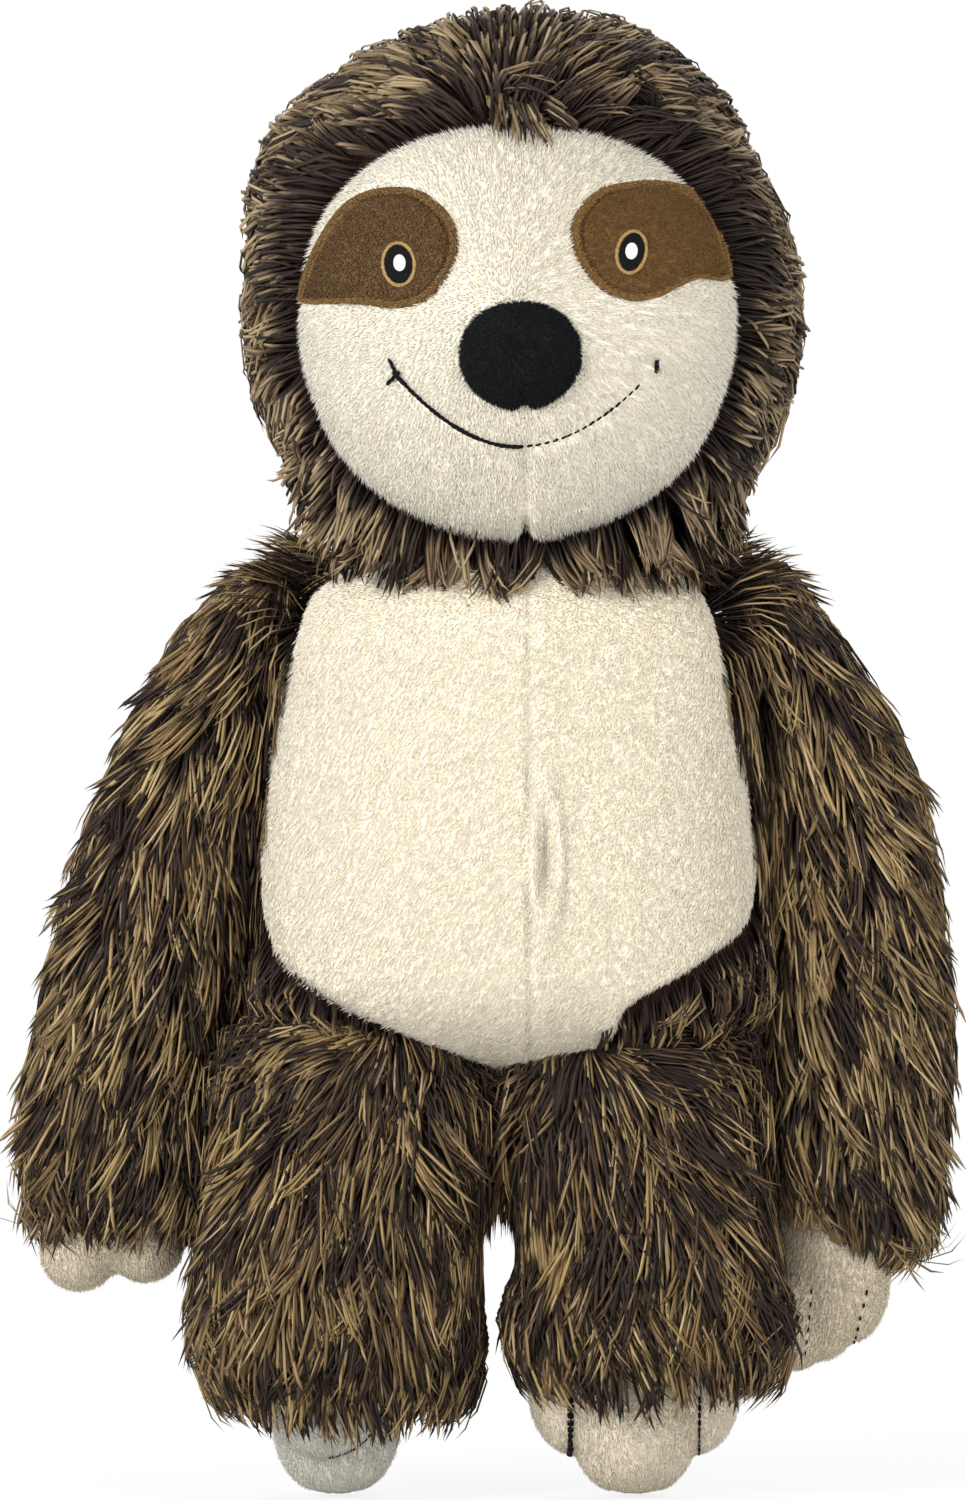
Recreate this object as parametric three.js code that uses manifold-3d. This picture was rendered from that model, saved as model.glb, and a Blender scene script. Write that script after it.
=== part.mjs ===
// A standing plush sloth, 30 cm tall, in millimetres. +Z is up, the face looks along -Y, and the toy's own
// left side is +X. The origin lies on the floor, under the middle of the toy's box. Every cover is a shell of
// sewn pile fabric over a loose core of fibre filling, and the head, arms and legs turn about their seams.

import * as THREE from "three";
import { mergeVertices } from "three/addons/utils/BufferGeometryUtils.js";
import Module from "manifold-3d";

const wasm = await Module();
wasm.setup();

// Clearances: between touching pieces, between a cover and its filling, and between pieces that turn past
// each other. One overrun serves all cuts.
const GAP = 0.3;
const LOOSE = 0.6;
const RUNNING_GAP = 0.95;
const OVERRUN = 400;

// Cloths: the long pile is as thick as its backing and matted roots
const LONG_PILE = 5;
const SHORT_PILE = 2.6;
const APPLIQUE = 1;
const THREAD = 0.9;

// The head is squarer than a ball, and its crown leans towards the toy's right
const HEAD = {
  x: 6.2,
  y: 3,
  z: 238.8,
  halfWidth: 54,
  halfDepth: 46,
  halfHeight: 56.2,
  roundness: 2.4,
  crownLean: 2.4,
};
const HEAD_WIDTH_SHARES = [0.98, 1, 1, 1, 0.99];
const HEAD_DEPTH_SHARES = [0.94, 0.98, 1, 1, 1];

// The face bulges forward out of the hood and ends in a seam just inside the hood's own edge
const FACE = {
  aside: -1.1,
  forward: 12,
  below: 6.1,
  halfWidth: 44.5,
  halfDepth: 36,
  halfHeight: 42,
  tilt: 1.8,
};
const DART = { across: 1.6, width: 0.8, top: -17.5 };
const FACE_WIDTH_SHARES = [0.97, 1.03, 1.01, 0.97, 0.96];
const FACE_DEPTH_SHARES = [0.92, 1, 1.02, 0.96, 0.94];

// Places on the face run from its middle, across to the toy's left and up
const EYE = {
  across: 22.8,
  up: 13.6,
  halfWidth: 3.7,
  halfHeight: 4.9,
  ring: 0.8,
  glintHalfWidth: 1.15,
  glintHalfHeight: 1.8,
};
const PATCH = { inner: 11, outer: 41.6, top: 29, bottom: 4.4 };
const PATCH_OUTLINE_SHARES = [
  [0, 0.42],
  [0.02, 0.62],
  [0.13, 0.83],
  [0.33, 0.96],
  [0.56, 1],
  [0.78, 0.93],
  [0.93, 0.75],
  [1, 0.5],
  [1, 0.27],
  [0.84, 0.24],
  [0.64, 0.13],
  [0.46, 0.02],
  [0.28, 0],
  [0.13, 0.09],
  [0.04, 0.24],
];
const NOSE = { across: 0.4, up: -5.1, halfWidth: 12, halfHeight: 10.8, halfDepth: 6.6, squareness: 2.3 };
const MOUTH = { halfSpan: 25.5, corner: -6.8, middle: -22.9, width: 1.3, split: 1.2, steps: 8 };

const TORSO = {
  x: 4.1,
  y: 3,
  bottom: 84,
  crown: 193,
  neck: 188,
  halfWidth: 52,
  halfDepth: 40,
  lowDome: 26,
  highDome: 24,
  squareness: 2.2,
};
const TORSO_WIDTH_SHARES = [1, 1, 1, 0.99, 0.97, 0.945, 0.92, 0.9, 0.86];
const TORSO_DEPTH_SHARES = [0.94, 0.99, 1, 0.99, 0.96, 0.92, 0.87, 0.82, 0.76];

// The cream belly, seen from the front: how far its seam lies from the middle, from its lowest point to its top
const BELLY = {
  bottom: 87,
  halfWidth: 49.4,
  sunk: 1,
  seamAside: 3.2,
};
const BELLY_SHARES = [0, 0.37, 0.66, 0.87, 0.955, 0.98, 1, 0.99, 0.975, 0.955, 0.93, 0.9, 0.865, 0.83, 0.78, 0.7];

const NECK_SEAM = { radius: 15 };

// Arms are set by their outer edge and by the flank that they hang along, both from the torso's middle
const ARM = {
  y: 11,
  pivot: 176,
  crown: 191,
  halfDepth: 16.5,
  lowDome: 17,
  highDome: 15,
  cuffRise: 7,
  squareness: 2.2,
};
const ARM_DEPTH_SHARES = [1, 1.02, 1.03, 1.02, 1, 0.97, 0.94, 0.88, 0.8];
const RIGHT_ARM = {
  side: "right",
  away: -1,
  tip: 45,
  reach: 98.2,
  reachShares: [0.955, 1, 0.98, 0.945, 0.9, 0.845, 0.76, 0.67, 0.575],
  flank: { near: 45.6, far: 64.2, settle: 120 },
  paw: { x: -76, bottom: 40.5, halfWidth: 14.4, halfDepth: 12, height: 30 },
  fingerLiftShares: [0.05, 0, 0.03],
};
const LEFT_ARM = {
  side: "left",
  away: 1,
  tip: 37,
  reach: 88,
  reachShares: [0.92, 0.98, 0.99, 1, 0.98, 0.955, 0.88, 0.755, 0.66],
  flank: { near: 45.7, far: 54, settle: 70 },
  paw: { x: 70, bottom: 24, halfWidth: 11.6, halfDepth: 12, height: 40 },
  fingerLiftShares: [0, 0.04, 0.16],
};
const FINGER = { widthShare: 0.42, deepShare: 0.88, longShare: 0.62, squareness: 2.3 };

const LEG = {
  y: -3,
  hip: 80,
  tip: 11,
  halfDepth: 23,
  lowDome: 14,
  squareness: 2.5,
  cuffRise: 7,
  forward: 90,
};
const LEG_WIDTH_SHARES = [0.93, 1, 1, 0.985, 0.96, 0.93, 0.9];
const LEG_DEPTH_SHARES = [1, 1.06, 1.08, 1.08, 1.06, 1.03, 1];
const RIGHT_LEG = { side: "right", away: -1, inner: -0.2, outer: -59.4, turn: 78, foot: { x: -31, y: 2 } };
const LEFT_LEG = { side: "left", away: 1, inner: 3.2, outer: 57, turn: 0, foot: { x: 28.6, y: 2 } };

// A foot is a mitten with a big middle toe between two small ones, and only the big toe's sole meets the floor
const FOOT = {
  soleCut: 0.5,
  toe: { halfWidth: 13.8, halfDepth: 17, halfHeight: 16, squareness: 3.2 },
  sideToe: { halfWidth: 10.2, halfDepth: 13.5, halfHeight: 13, squareness: 2.4, lift: 8, across: 12.6 },
};
const STITCH = { width: 1.2, halfLength: 6.5, above: 3 };

const COLOURS = {
  longPile: 0x5a4030,
  cream: 0xf0e7d4,
  velboa: 0x60411f,
  noseVelboa: 0x1b1c1e,
  tanThread: 0xb48a4e,
  blackThread: 0x141414,
  whiteThread: 0xf6f4ee,
  filling: 0xf4f2ea,
  seamThread: 0x4a3526,
};

// How finely the forms are drawn
const AROUND = 22;
const LIMB_AROUND = 14;
const LOBE_AROUND = 12;
const LOBE_RINGS = 4;

// Solids and meshes

function solidOf(geometry) {
  const bare = geometry.clone();
  bare.deleteAttribute("normal");
  bare.deleteAttribute("uv");
  const merged = mergeVertices(bare);
  return new wasm.Manifold(
    new wasm.Mesh({
      numProp: 3,
      vertProperties: new Float32Array(merged.attributes.position.array),
      triVerts: new Uint32Array(merged.index.array),
    }),
  );
}

function geometryOf(solid) {
  const mesh = solid.getMesh();
  const geometry = new THREE.BufferGeometry();
  const places = new Float32Array(mesh.numVert * 3);
  for (let i = 0; i < mesh.numVert; i += 1) {
    places.set(mesh.vertProperties.subarray(i * mesh.numProp, i * mesh.numProp + 3), i * 3);
  }
  geometry.setAttribute("position", new THREE.BufferAttribute(places, 3));
  geometry.setIndex(new THREE.BufferAttribute(new Uint32Array(mesh.triVerts), 1));
  return geometry;
}

function box(x0, x1, y0, y1, z0, z1) {
  const geometry = new THREE.BoxGeometry(x1 - x0, y1 - y0, z1 - z0);
  geometry.translate((x0 + x1) / 2, (y0 + y1) / 2, (z0 + z1) / 2);
  return solidOf(geometry);
}

function above(z) {
  return box(-OVERRUN, OVERRUN, -OVERRUN, OVERRUN, z, z + OVERRUN);
}

function below(z) {
  return box(-OVERRUN, OVERRUN, -OVERRUN, OVERRUN, z - OVERRUN, z);
}

function behind(y) {
  return box(-OVERRUN, OVERRUN, y, y + OVERRUN, -OVERRUN, OVERRUN);
}

function ahead(y) {
  return box(-OVERRUN, OVERRUN, y - OVERRUN, y, -OVERRUN, OVERRUN);
}

// A prism along Y over an outline drawn as seen from the front
function frontPrism(outline, y0 = -OVERRUN, y1 = 0) {
  const geometry = new THREE.ExtrudeGeometry(new THREE.Shape(outline), {
    depth: y1 - y0,
    bevelEnabled: false,
    curveSegments: 8,
  });
  geometry.rotateX(Math.PI / 2);
  geometry.translate(0, y1, 0);
  return solidOf(geometry);
}

// A smooth value at share t of the way through a table, lowest end first
function along(table, t) {
  const place = THREE.MathUtils.clamp(t, 0, 1) * (table.length - 1);
  const i = Math.min(Math.floor(place), table.length - 2);
  const u = place - i;
  const p = [i - 1, i, i + 1, i + 2].map((k) => table[THREE.MathUtils.clamp(k, 0, table.length - 1)]);
  return (
    p[1] +
    0.5 * u * (p[2] - p[0] + u * (2 * p[0] - 5 * p[1] + 4 * p[2] - p[3] + u * (3 * (p[1] - p[2]) + p[3] - p[0])))
  );
}

// How full a form is at height z, with a quarter ellipse at each end, or a squarer curve past a roundness of 2
function fullness(z, bottom, top, lowDome, highDome, roundness = 2) {
  const low = z < bottom + lowDome ? 1 - (z - bottom) / lowDome : 0;
  const high = z > top - highDome ? 1 - (top - z) / highDome : 0;
  return Math.max(0, 1 - Math.max(low, high) ** roundness) ** (1 / roundness);
}

function heights(bottom, top, lowDome, highDome, domeRings, midRings) {
  const levels = [];
  for (let k = 1; k <= domeRings; k += 1) {
    levels.push(bottom + lowDome * (1 - Math.cos((k / domeRings) * (Math.PI / 2))));
  }
  const middle = top - highDome - bottom - lowDome;
  for (let k = 1; k < midRings; k += 1) {
    levels.push(bottom + lowDome + (middle * k) / midRings);
  }
  const first = middle > GAP ? domeRings : domeRings - 1;
  for (let k = first; k >= 1; k -= 1) {
    levels.push(top - highDome * (1 - Math.cos((k / domeRings) * (Math.PI / 2))));
  }
  return levels;
}

// Rings of points, lowest first, closed by a pole at each end
function stackOf(rings, lowPole, highPole) {
  const count = rings[0].length;
  const places = [lowPole, ...rings.flat(), highPole];
  const index = [];
  for (let j = 0; j < count; j += 1) {
    const next = (j + 1) % count;
    index.push(0, 1 + next, 1 + j);
    for (let r = 0; r + 1 < rings.length; r += 1) {
      const a = 1 + r * count;
      const b = a + count;
      index.push(a + j, a + next, b + next, a + j, b + next, b + j);
    }
    const last = 1 + (rings.length - 1) * count;
    index.push(last + j, last + next, places.length - 1);
  }
  const geometry = new THREE.BufferGeometry();
  geometry.setAttribute("position", new THREE.Float32BufferAttribute(places.flatMap((p) => p.toArray()), 3));
  geometry.setIndex(index);
  return solidOf(geometry);
}

function superPoint(x, y, z, a, b, squareness, angle) {
  const c = Math.cos(angle);
  const s = Math.sin(angle);
  const power = 2 / squareness;
  return new THREE.Vector3(
    x + a * Math.sign(c) * Math.abs(c) ** power,
    y + b * Math.sign(s) * Math.abs(s) ** power,
    z,
  );
}

// A stuffed form on level rings. inset draws its whole skin in, and a negative inset lets it out. slack draws
// the same rings in a little more, so that a filling lies loose in its cover.
function stuffedForm(form, inset = 0, slack = 0) {
  const bottom = form.bottom + inset;
  const top = form.top - inset;
  const lowDome = form.lowDome - inset;
  const highDome = form.highDome - inset;
  const span = form.top - form.bottom;
  const levels = heights(bottom, top, lowDome, highDome, form.domeRings ?? 4, form.midRings ?? 4);
  const around = form.around ?? AROUND;
  const rings = levels.map((z) => {
    const t = (z - form.bottom) / span;
    const full = fullness(z, bottom, top, lowDome, highDome, form.roundness);
    const { x, y, a, b } = form.section(t);
    const ring = [];
    for (let j = 0; j < around; j += 1) {
      const angle = (j / around) * 2 * Math.PI;
      const wide = (a - inset) * full - slack;
      const deep = (b - inset) * full - slack;
      ring.push(superPoint(x, y, z, wide, deep, form.squareness ?? 2, angle));
    }
    return ring;
  });
  const low = form.section(0);
  const high = form.section(1);
  return stackOf(
    rings,
    new THREE.Vector3(low.x, low.y, bottom + slack),
    new THREE.Vector3(high.x, high.y, top - slack),
  );
}

// Shapes of the head, face and torso

function headForm(inset, slack = 0) {
  return stuffedForm(
    {
      bottom: HEAD.z - HEAD.halfHeight,
      top: HEAD.z + HEAD.halfHeight,
      lowDome: HEAD.halfHeight,
      highDome: HEAD.halfHeight,
      roundness: HEAD.roundness,
      domeRings: 5,
      midRings: 1,
      section: (t) => ({
        x: HEAD.x - HEAD.crownLean * THREE.MathUtils.smoothstep(t, 0.5, 0.85),
        y: HEAD.y,
        a: HEAD.halfWidth * along(HEAD_WIDTH_SHARES, t),
        b: HEAD.halfDepth * along(HEAD_DEPTH_SHARES, t),
      }),
    },
    inset,
    slack,
  );
}

const faceX = HEAD.x + FACE.aside;
const faceY = HEAD.y - FACE.forward;
const faceZ = HEAD.z - FACE.below;

function faceForm(inset, slack = 0) {
  return stuffedForm(
    {
      bottom: faceZ - FACE.halfHeight,
      top: faceZ + FACE.halfHeight,
      lowDome: FACE.halfHeight,
      highDome: FACE.halfHeight,
      domeRings: 5,
      midRings: 1,
      section: (t) => ({
        x: faceX,
        y: faceY,
        a: FACE.halfWidth * along(FACE_WIDTH_SHARES, t),
        b: FACE.halfDepth * along(FACE_DEPTH_SHARES, t),
      }),
    },
    inset,
    slack,
  );
}

// The face's seam as seen from the front, let out by a margin
function faceOutline(margin) {
  const outline = [];
  for (let j = 0; j < AROUND; j += 1) {
    const angle = (j / AROUND) * 2 * Math.PI;
    const up = (FACE.halfHeight + margin) * Math.sin(angle);
    const t = (up / (FACE.halfHeight + margin) + 1) / 2;
    const half = FACE.halfWidth * along(FACE_WIDTH_SHARES, t) + margin;
    outline.push(new THREE.Vector2(faceX + half * Math.cos(angle), faceZ + up));
  }
  return outline;
}

// A point of the face as seen from the front, with the face's slight lean
function onFace(across, up) {
  const lean = THREE.MathUtils.degToRad(FACE.tilt);
  return new THREE.Vector2(
    faceX + across * Math.cos(lean) - up * Math.sin(lean),
    faceZ + across * Math.sin(lean) + up * Math.cos(lean),
  );
}

// A piece of cloth or thread laid on the face, between two heights over it
function laidOnFace(outline, from, thickness) {
  return frontPrism(outline, -OVERRUN, faceY)
    .intersect(faceForm(-from - thickness))
    .subtract(faceForm(-from));
}

function torsoForm(inset, slack = 0) {
  return stuffedForm(
    {
      bottom: TORSO.bottom,
      top: TORSO.crown,
      lowDome: TORSO.lowDome,
      highDome: TORSO.highDome,
      squareness: TORSO.squareness,
      domeRings: 4,
      midRings: 4,
      section: (t) => ({
        x: TORSO.x,
        y: TORSO.y,
        a: TORSO.halfWidth * along(TORSO_WIDTH_SHARES, t),
        b: TORSO.halfDepth * along(TORSO_DEPTH_SHARES, t),
      }),
    },
    inset,
    slack,
  );
}

function bellyOutline(margin) {
  const top = TORSO.crown + OVERRUN;
  const rise = TORSO.crown - BELLY.bottom;
  const steps = BELLY_SHARES.length - 1;
  const side = BELLY_SHARES.map((share, k) => [
    k === 0 ? 0 : BELLY.halfWidth * share + margin,
    BELLY.bottom - margin + (rise * k) / steps,
  ]);
  const last = side[steps][0];
  return [
    ...side.map(([half, z]) => new THREE.Vector2(TORSO.x + half, z)),
    new THREE.Vector2(TORSO.x + last, top),
    new THREE.Vector2(TORSO.x - last, top),
    ...side
      .slice(1)
      .reverse()
      .map(([half, z]) => new THREE.Vector2(TORSO.x - half, z)),
  ];
}

// Shapes of the arms

// How far the flank of the torso lies from its middle, at a distance from the shoulder's axis
function flankAt(arm, radius) {
  const { near, far, settle } = arm.flank;
  const t = Math.min(Math.max(radius / settle, 0), 1);
  return near + (far - near) * t * (2 - t);
}

function armForm(arm, inset, slack = 0) {
  const length = ARM.crown - arm.tip;
  return stuffedForm(
    {
      bottom: arm.tip,
      top: ARM.crown,
      lowDome: ARM.lowDome,
      highDome: ARM.highDome,
      around: LIMB_AROUND,
      squareness: ARM.squareness,
      domeRings: 3,
      midRings: 5,
      section: (t) => {
        const outer = arm.reach * along(arm.reachShares, t);
        const inner = flankAt(arm, ARM.pivot - arm.tip - length * t);
        return {
          x: TORSO.x + (arm.away * (outer + inner)) / 2,
          y: ARM.y,
          a: (outer - inner) / 2,
          b: ARM.halfDepth * along(ARM_DEPTH_SHARES, t),
        };
      },
    },
    inset,
    slack,
  );
}

// A rounded lump with its widest ring at its middle
function lobe({ x, y, z, halfWidth, halfDepth, halfHeight, squareness }, inset) {
  const power = 2 / squareness;
  const rings = [];
  for (let k = 1; k <= LOBE_RINGS; k += 1) {
    const angle = (k / (LOBE_RINGS + 1)) * Math.PI;
    const full = Math.sin(angle) ** power;
    const level = -Math.sign(Math.cos(angle)) * Math.abs(Math.cos(angle)) ** power;
    const ring = [];
    for (let j = 0; j < LOBE_AROUND; j += 1) {
      const turn = (j / LOBE_AROUND) * 2 * Math.PI;
      const height = z + (halfHeight - inset) * level;
      ring.push(superPoint(x, y, height, (halfWidth - inset) * full, (halfDepth - inset) * full, 2, turn));
    }
    rings.push(ring);
  }
  const foot = new THREE.Vector3(x, y, z - halfHeight + inset);
  const crown = new THREE.Vector3(x, y, z + halfHeight - inset);
  return stackOf(rings, foot, crown);
}

// A paw is a palm with three short fingers side by side
function pawForm(arm, inset) {
  const { x, bottom, halfWidth, halfDepth, height } = arm.paw;
  const fingerHalf = halfWidth * FINGER.widthShare;
  const fingerRise = (height * FINGER.longShare) / 2;
  const palm = {
    x,
    y: ARM.y,
    z: bottom + fingerHalf + height / 2,
    halfWidth,
    halfDepth,
    halfHeight: height / 2,
    squareness: FINGER.squareness,
  };
  const fingers = arm.fingerLiftShares.map((lift, k) => ({
    x: x + arm.away * (k - 1) * (halfWidth - fingerHalf),
    y: ARM.y,
    z: bottom + height * lift + fingerRise,
    halfWidth: fingerHalf,
    halfDepth: halfDepth * FINGER.deepShare,
    halfHeight: fingerRise,
    squareness: FINGER.squareness,
  }));
  return fingers.reduce((solid, finger) => solid.add(lobe(finger, inset)), lobe(palm, inset));
}

// Shapes of the legs

function legMiddle(leg, widthShare) {
  return leg.inner + ((leg.outer - leg.inner) * widthShare) / 2;
}

// A leg swells downwards. Its thigh is round about the hip's axis, so that it turns under the torso.
function legForm(leg, inset, slack = 0) {
  const halfWidth = Math.abs(leg.outer - leg.inner) / 2;
  const bottom = LEG.tip + inset;
  const lowDome = LEG.lowDome - inset;
  const levels = heights(bottom, LEG.hip, lowDome, 0, 3, 4);
  levels.pop();
  const rings = [...levels, LEG.hip].map((z) => {
    const t = (z - LEG.tip) / (LEG.hip - LEG.tip);
    const widthShare = along(LEG_WIDTH_SHARES, t);
    const full = fullness(z, bottom, LEG.hip + LEG.halfDepth, lowDome, LEG.halfDepth);
    const a = (halfWidth * widthShare - inset) * full - slack;
    const b = (LEG.halfDepth * along(LEG_DEPTH_SHARES, t) - inset) * full - slack;
    const ring = [];
    for (let j = 0; j < LIMB_AROUND; j += 1) {
      const turn = (j / LIMB_AROUND) * 2 * Math.PI;
      ring.push(superPoint(legMiddle(leg, widthShare), LEG.y, z, a, b, LEG.squareness, turn));
    }
    return ring;
  });
  const thighX = legMiddle(leg, LEG_WIDTH_SHARES.at(-1));
  const wide = halfWidth * LEG_WIDTH_SHARES.at(-1) - inset - slack;
  const deep = LEG.halfDepth * LEG_DEPTH_SHARES.at(-1) - inset - slack;
  const thighRings = 3;
  for (let k = 1; k <= thighRings; k += 1) {
    const up = deep * Math.sin((k / (thighRings + 1)) * (Math.PI / 2));
    const reach = wide * (1 - (up / deep) ** LEG.squareness) ** (1 / LEG.squareness);
    const ring = [];
    for (let j = 0; j < LIMB_AROUND; j += 1) {
      const flat = superPoint(0, 0, 0, reach, 1, LEG.squareness, (j / LIMB_AROUND) * 2 * Math.PI);
      const radius = deep * (1 - Math.abs(flat.x / wide) ** LEG.squareness) ** (1 / LEG.squareness);
      const half = Math.sqrt(Math.max(0, radius ** 2 - up ** 2));
      ring.push(new THREE.Vector3(thighX + flat.x, LEG.y + half * Math.sign(flat.y), LEG.hip + up));
    }
    rings.push(ring);
  }
  const foot = new THREE.Vector3(legMiddle(leg, LEG_WIDTH_SHARES[0]), LEG.y, bottom + slack);
  return stackOf(rings, foot, new THREE.Vector3(thighX, LEG.y, LEG.hip + deep));
}

function turnedAboutHip(solid, degrees) {
  return solid
    .translate([0, -LEG.y, -LEG.hip])
    .rotate([-degrees, 0, 0])
    .translate([0, LEG.y, LEG.hip]);
}

// The space over its hip that a leg needs, hanging down or raised in front
function legSweep(leg) {
  const limb = legForm(leg, -RUNNING_GAP);
  return limb.add(turnedAboutHip(limb, LEG.forward)).intersect(above(LEG.hip));
}

function footForm(leg, inset) {
  const { toe, sideToe } = FOOT;
  const place = (solid) => solid.rotate([0, 0, leg.turn]).translate([leg.foot.x, leg.foot.y, 0]);
  const bigToe = lobe({ x: 0, y: 0, z: toe.halfHeight - FOOT.soleCut, ...toe }, inset);
  const small = [-1, 1].map((side) =>
    lobe({ x: side * sideToe.across, y: 0, z: sideToe.halfHeight + sideToe.lift, ...sideToe }, inset),
  );
  return place(small.reduce((solid, part) => solid.add(part), bigToe)).intersect(above(Math.max(inset, 0)));
}

// Building the pieces

function material(colour) {
  return new THREE.MeshStandardMaterial({ color: colour, roughness: 0.95, metalness: 0 });
}

const toy = new THREE.Group();

// Adds the largest body of a solid as a named piece, so that no crumb of a cut is left beside it
function piece(name, solid, colour) {
  const bodies = solid.decompose().sort((p, q) => q.volume() - p.volume());
  const mesh = new THREE.Mesh(geometryOf(bodies[0]), material(colour));
  mesh.name = name;
  toy.add(mesh);
}

function shellOf(form, thickness, inset = 0) {
  return form(inset).subtract(form(inset + thickness));
}

function ellipse(centre, halfWidth, halfHeight) {
  const outline = [];
  for (let j = 0; j < LOBE_AROUND; j += 1) {
    const angle = (j / LOBE_AROUND) * 2 * Math.PI;
    outline.push(onFace(centre.x + halfWidth * Math.cos(angle), centre.y + halfHeight * Math.sin(angle)));
  }
  return outline;
}

function buildHead() {
  const neck = TORSO.neck + 2 * GAP + THREAD;
  const opening = frontPrism(faceOutline(GAP));
  const hood = shellOf(headForm, LONG_PILE).intersect(above(neck)).subtract(opening.add(faceForm(-GAP)));
  piece("head_fur_hood", hood, COLOURS.longPile);

  const dartX = faceX + DART.across;
  const dart = box(dartX - DART.width / 2, dartX + DART.width / 2, -OVERRUN, faceY, 0, faceZ + DART.top);
  const face = shellOf(faceForm, SHORT_PILE).intersect(ahead(faceY)).subtract(dart);
  piece("face_panel", face, COLOURS.cream);

  const rear = headForm(LONG_PILE, LOOSE).intersect(behind(faceY + GAP));
  const front = faceForm(SHORT_PILE, LOOSE);
  piece("head_filling", rear.add(front).intersect(above(neck)), COLOURS.filling);

  const overPatch = GAP + APPLIQUE + GAP;
  for (const [side, away] of [["right", -1], ["left", 1]]) {
    const outline = PATCH_OUTLINE_SHARES.map(([u, v]) =>
      onFace(
        away * THREE.MathUtils.lerp(PATCH.inner, PATCH.outer, u),
        THREE.MathUtils.lerp(PATCH.bottom, PATCH.top, v),
      ),
    );
    const patch = laidOnFace(outline, GAP, APPLIQUE).intersect(frontPrism(faceOutline(-APPLIQUE)));
    piece(`${side}_eye_patch`, patch, COLOURS.velboa);

    const eye = new THREE.Vector2(away * EYE.across, EYE.up);
    const disc = (halfWidth, halfHeight) =>
      laidOnFace(ellipse(eye, halfWidth, halfHeight), overPatch, THREAD);
    const pupilWidth = EYE.halfWidth - EYE.ring;
    const pupilHeight = EYE.halfHeight - EYE.ring;
    const ring = disc(EYE.halfWidth, EYE.halfHeight).subtract(frontPrism(ellipse(eye, pupilWidth, pupilHeight)));
    piece(`${side}_eye_ring`, ring, COLOURS.tanThread);
    const glintHole = frontPrism(ellipse(eye, EYE.glintHalfWidth + GAP, EYE.glintHalfHeight + GAP));
    piece(`${side}_pupil`, disc(pupilWidth - GAP, pupilHeight - GAP).subtract(glintHole), COLOURS.blackThread);
    piece(`${side}_eye_glint`, disc(EYE.glintHalfWidth, EYE.glintHalfHeight), COLOURS.whiteThread);

    const line = [];
    for (let k = 0; k <= MOUTH.steps; k += 1) {
      const t = k / MOUTH.steps;
      const across = THREE.MathUtils.lerp(MOUTH.split / 2, MOUTH.halfSpan, t);
      const up = THREE.MathUtils.lerp(MOUTH.middle, MOUTH.corner, t * t);
      line.push([away * across, up]);
    }
    const ribbon = [
      ...line.map(([across, up]) => onFace(across, up - MOUTH.width / 2)),
      ...line.reverse().map(([across, up]) => onFace(across, up + MOUTH.width / 2)),
    ];
    piece(`${side}_mouth_stitching`, laidOnFace(ribbon, GAP, THREAD), COLOURS.blackThread);
  }

  const seat = onFace(NOSE.across, NOSE.up);
  const nose = lobe({ x: seat.x, y: faceY - FACE.halfDepth, z: seat.y, ...NOSE }, 0).subtract(faceForm(-GAP));
  piece("nose", nose, COLOURS.noseVelboa);
}

function buildTorso() {
  const seamX = TORSO.x + BELLY.seamAside;
  const clear = legSweep(RIGHT_LEG).add(legSweep(LEFT_LEG)).add(above(TORSO.neck));
  const opening = frontPrism(bellyOutline(GAP), -OVERRUN, TORSO.y);
  piece("back_fur_panel", shellOf(torsoForm, LONG_PILE).subtract(opening).subtract(clear), COLOURS.longPile);

  const belly = shellOf(torsoForm, SHORT_PILE, BELLY.sunk)
    .intersect(frontPrism(bellyOutline(0), -OVERRUN, TORSO.y))
    .subtract(clear);
  const rightHalf = box(-OVERRUN, seamX - GAP / 2, -OVERRUN, OVERRUN, -OVERRUN, OVERRUN);
  const leftHalf = box(seamX + GAP / 2, OVERRUN, -OVERRUN, OVERRUN, -OVERRUN, OVERRUN);
  piece("right_belly_panel", belly.intersect(rightHalf), COLOURS.cream);
  piece("left_belly_panel", belly.intersect(leftHalf), COLOURS.cream);
  piece("torso_filling", torsoForm(LONG_PILE, LOOSE).subtract(clear), COLOURS.filling);

  const thread = new THREE.TorusGeometry(NECK_SEAM.radius, THREAD / 2, 5, AROUND);
  thread.translate(HEAD.x, HEAD.y, TORSO.neck + GAP + THREAD / 2);
  piece("neck_seam_thread", solidOf(thread), COLOURS.seamThread);
}

// One filling for a limb and its end, which meet at a level
function joinedAt(z, upper, lower) {
  return upper.intersect(above(z)).add(lower.intersect(below(z)));
}

// A line of thread in the valley between two lobes, on the front of a limb's end
function valleyStitch(form, x, y, z, turn) {
  const bead = form(-GAP - THREAD).subtract(form(-GAP));
  const { width, halfLength } = STITCH;
  const slab = box(-width / 2, width / 2, -OVERRUN, 0, -halfLength, halfLength);
  return bead.intersect(slab.rotate([0, 0, turn]).translate([x, y, z]));
}

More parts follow.
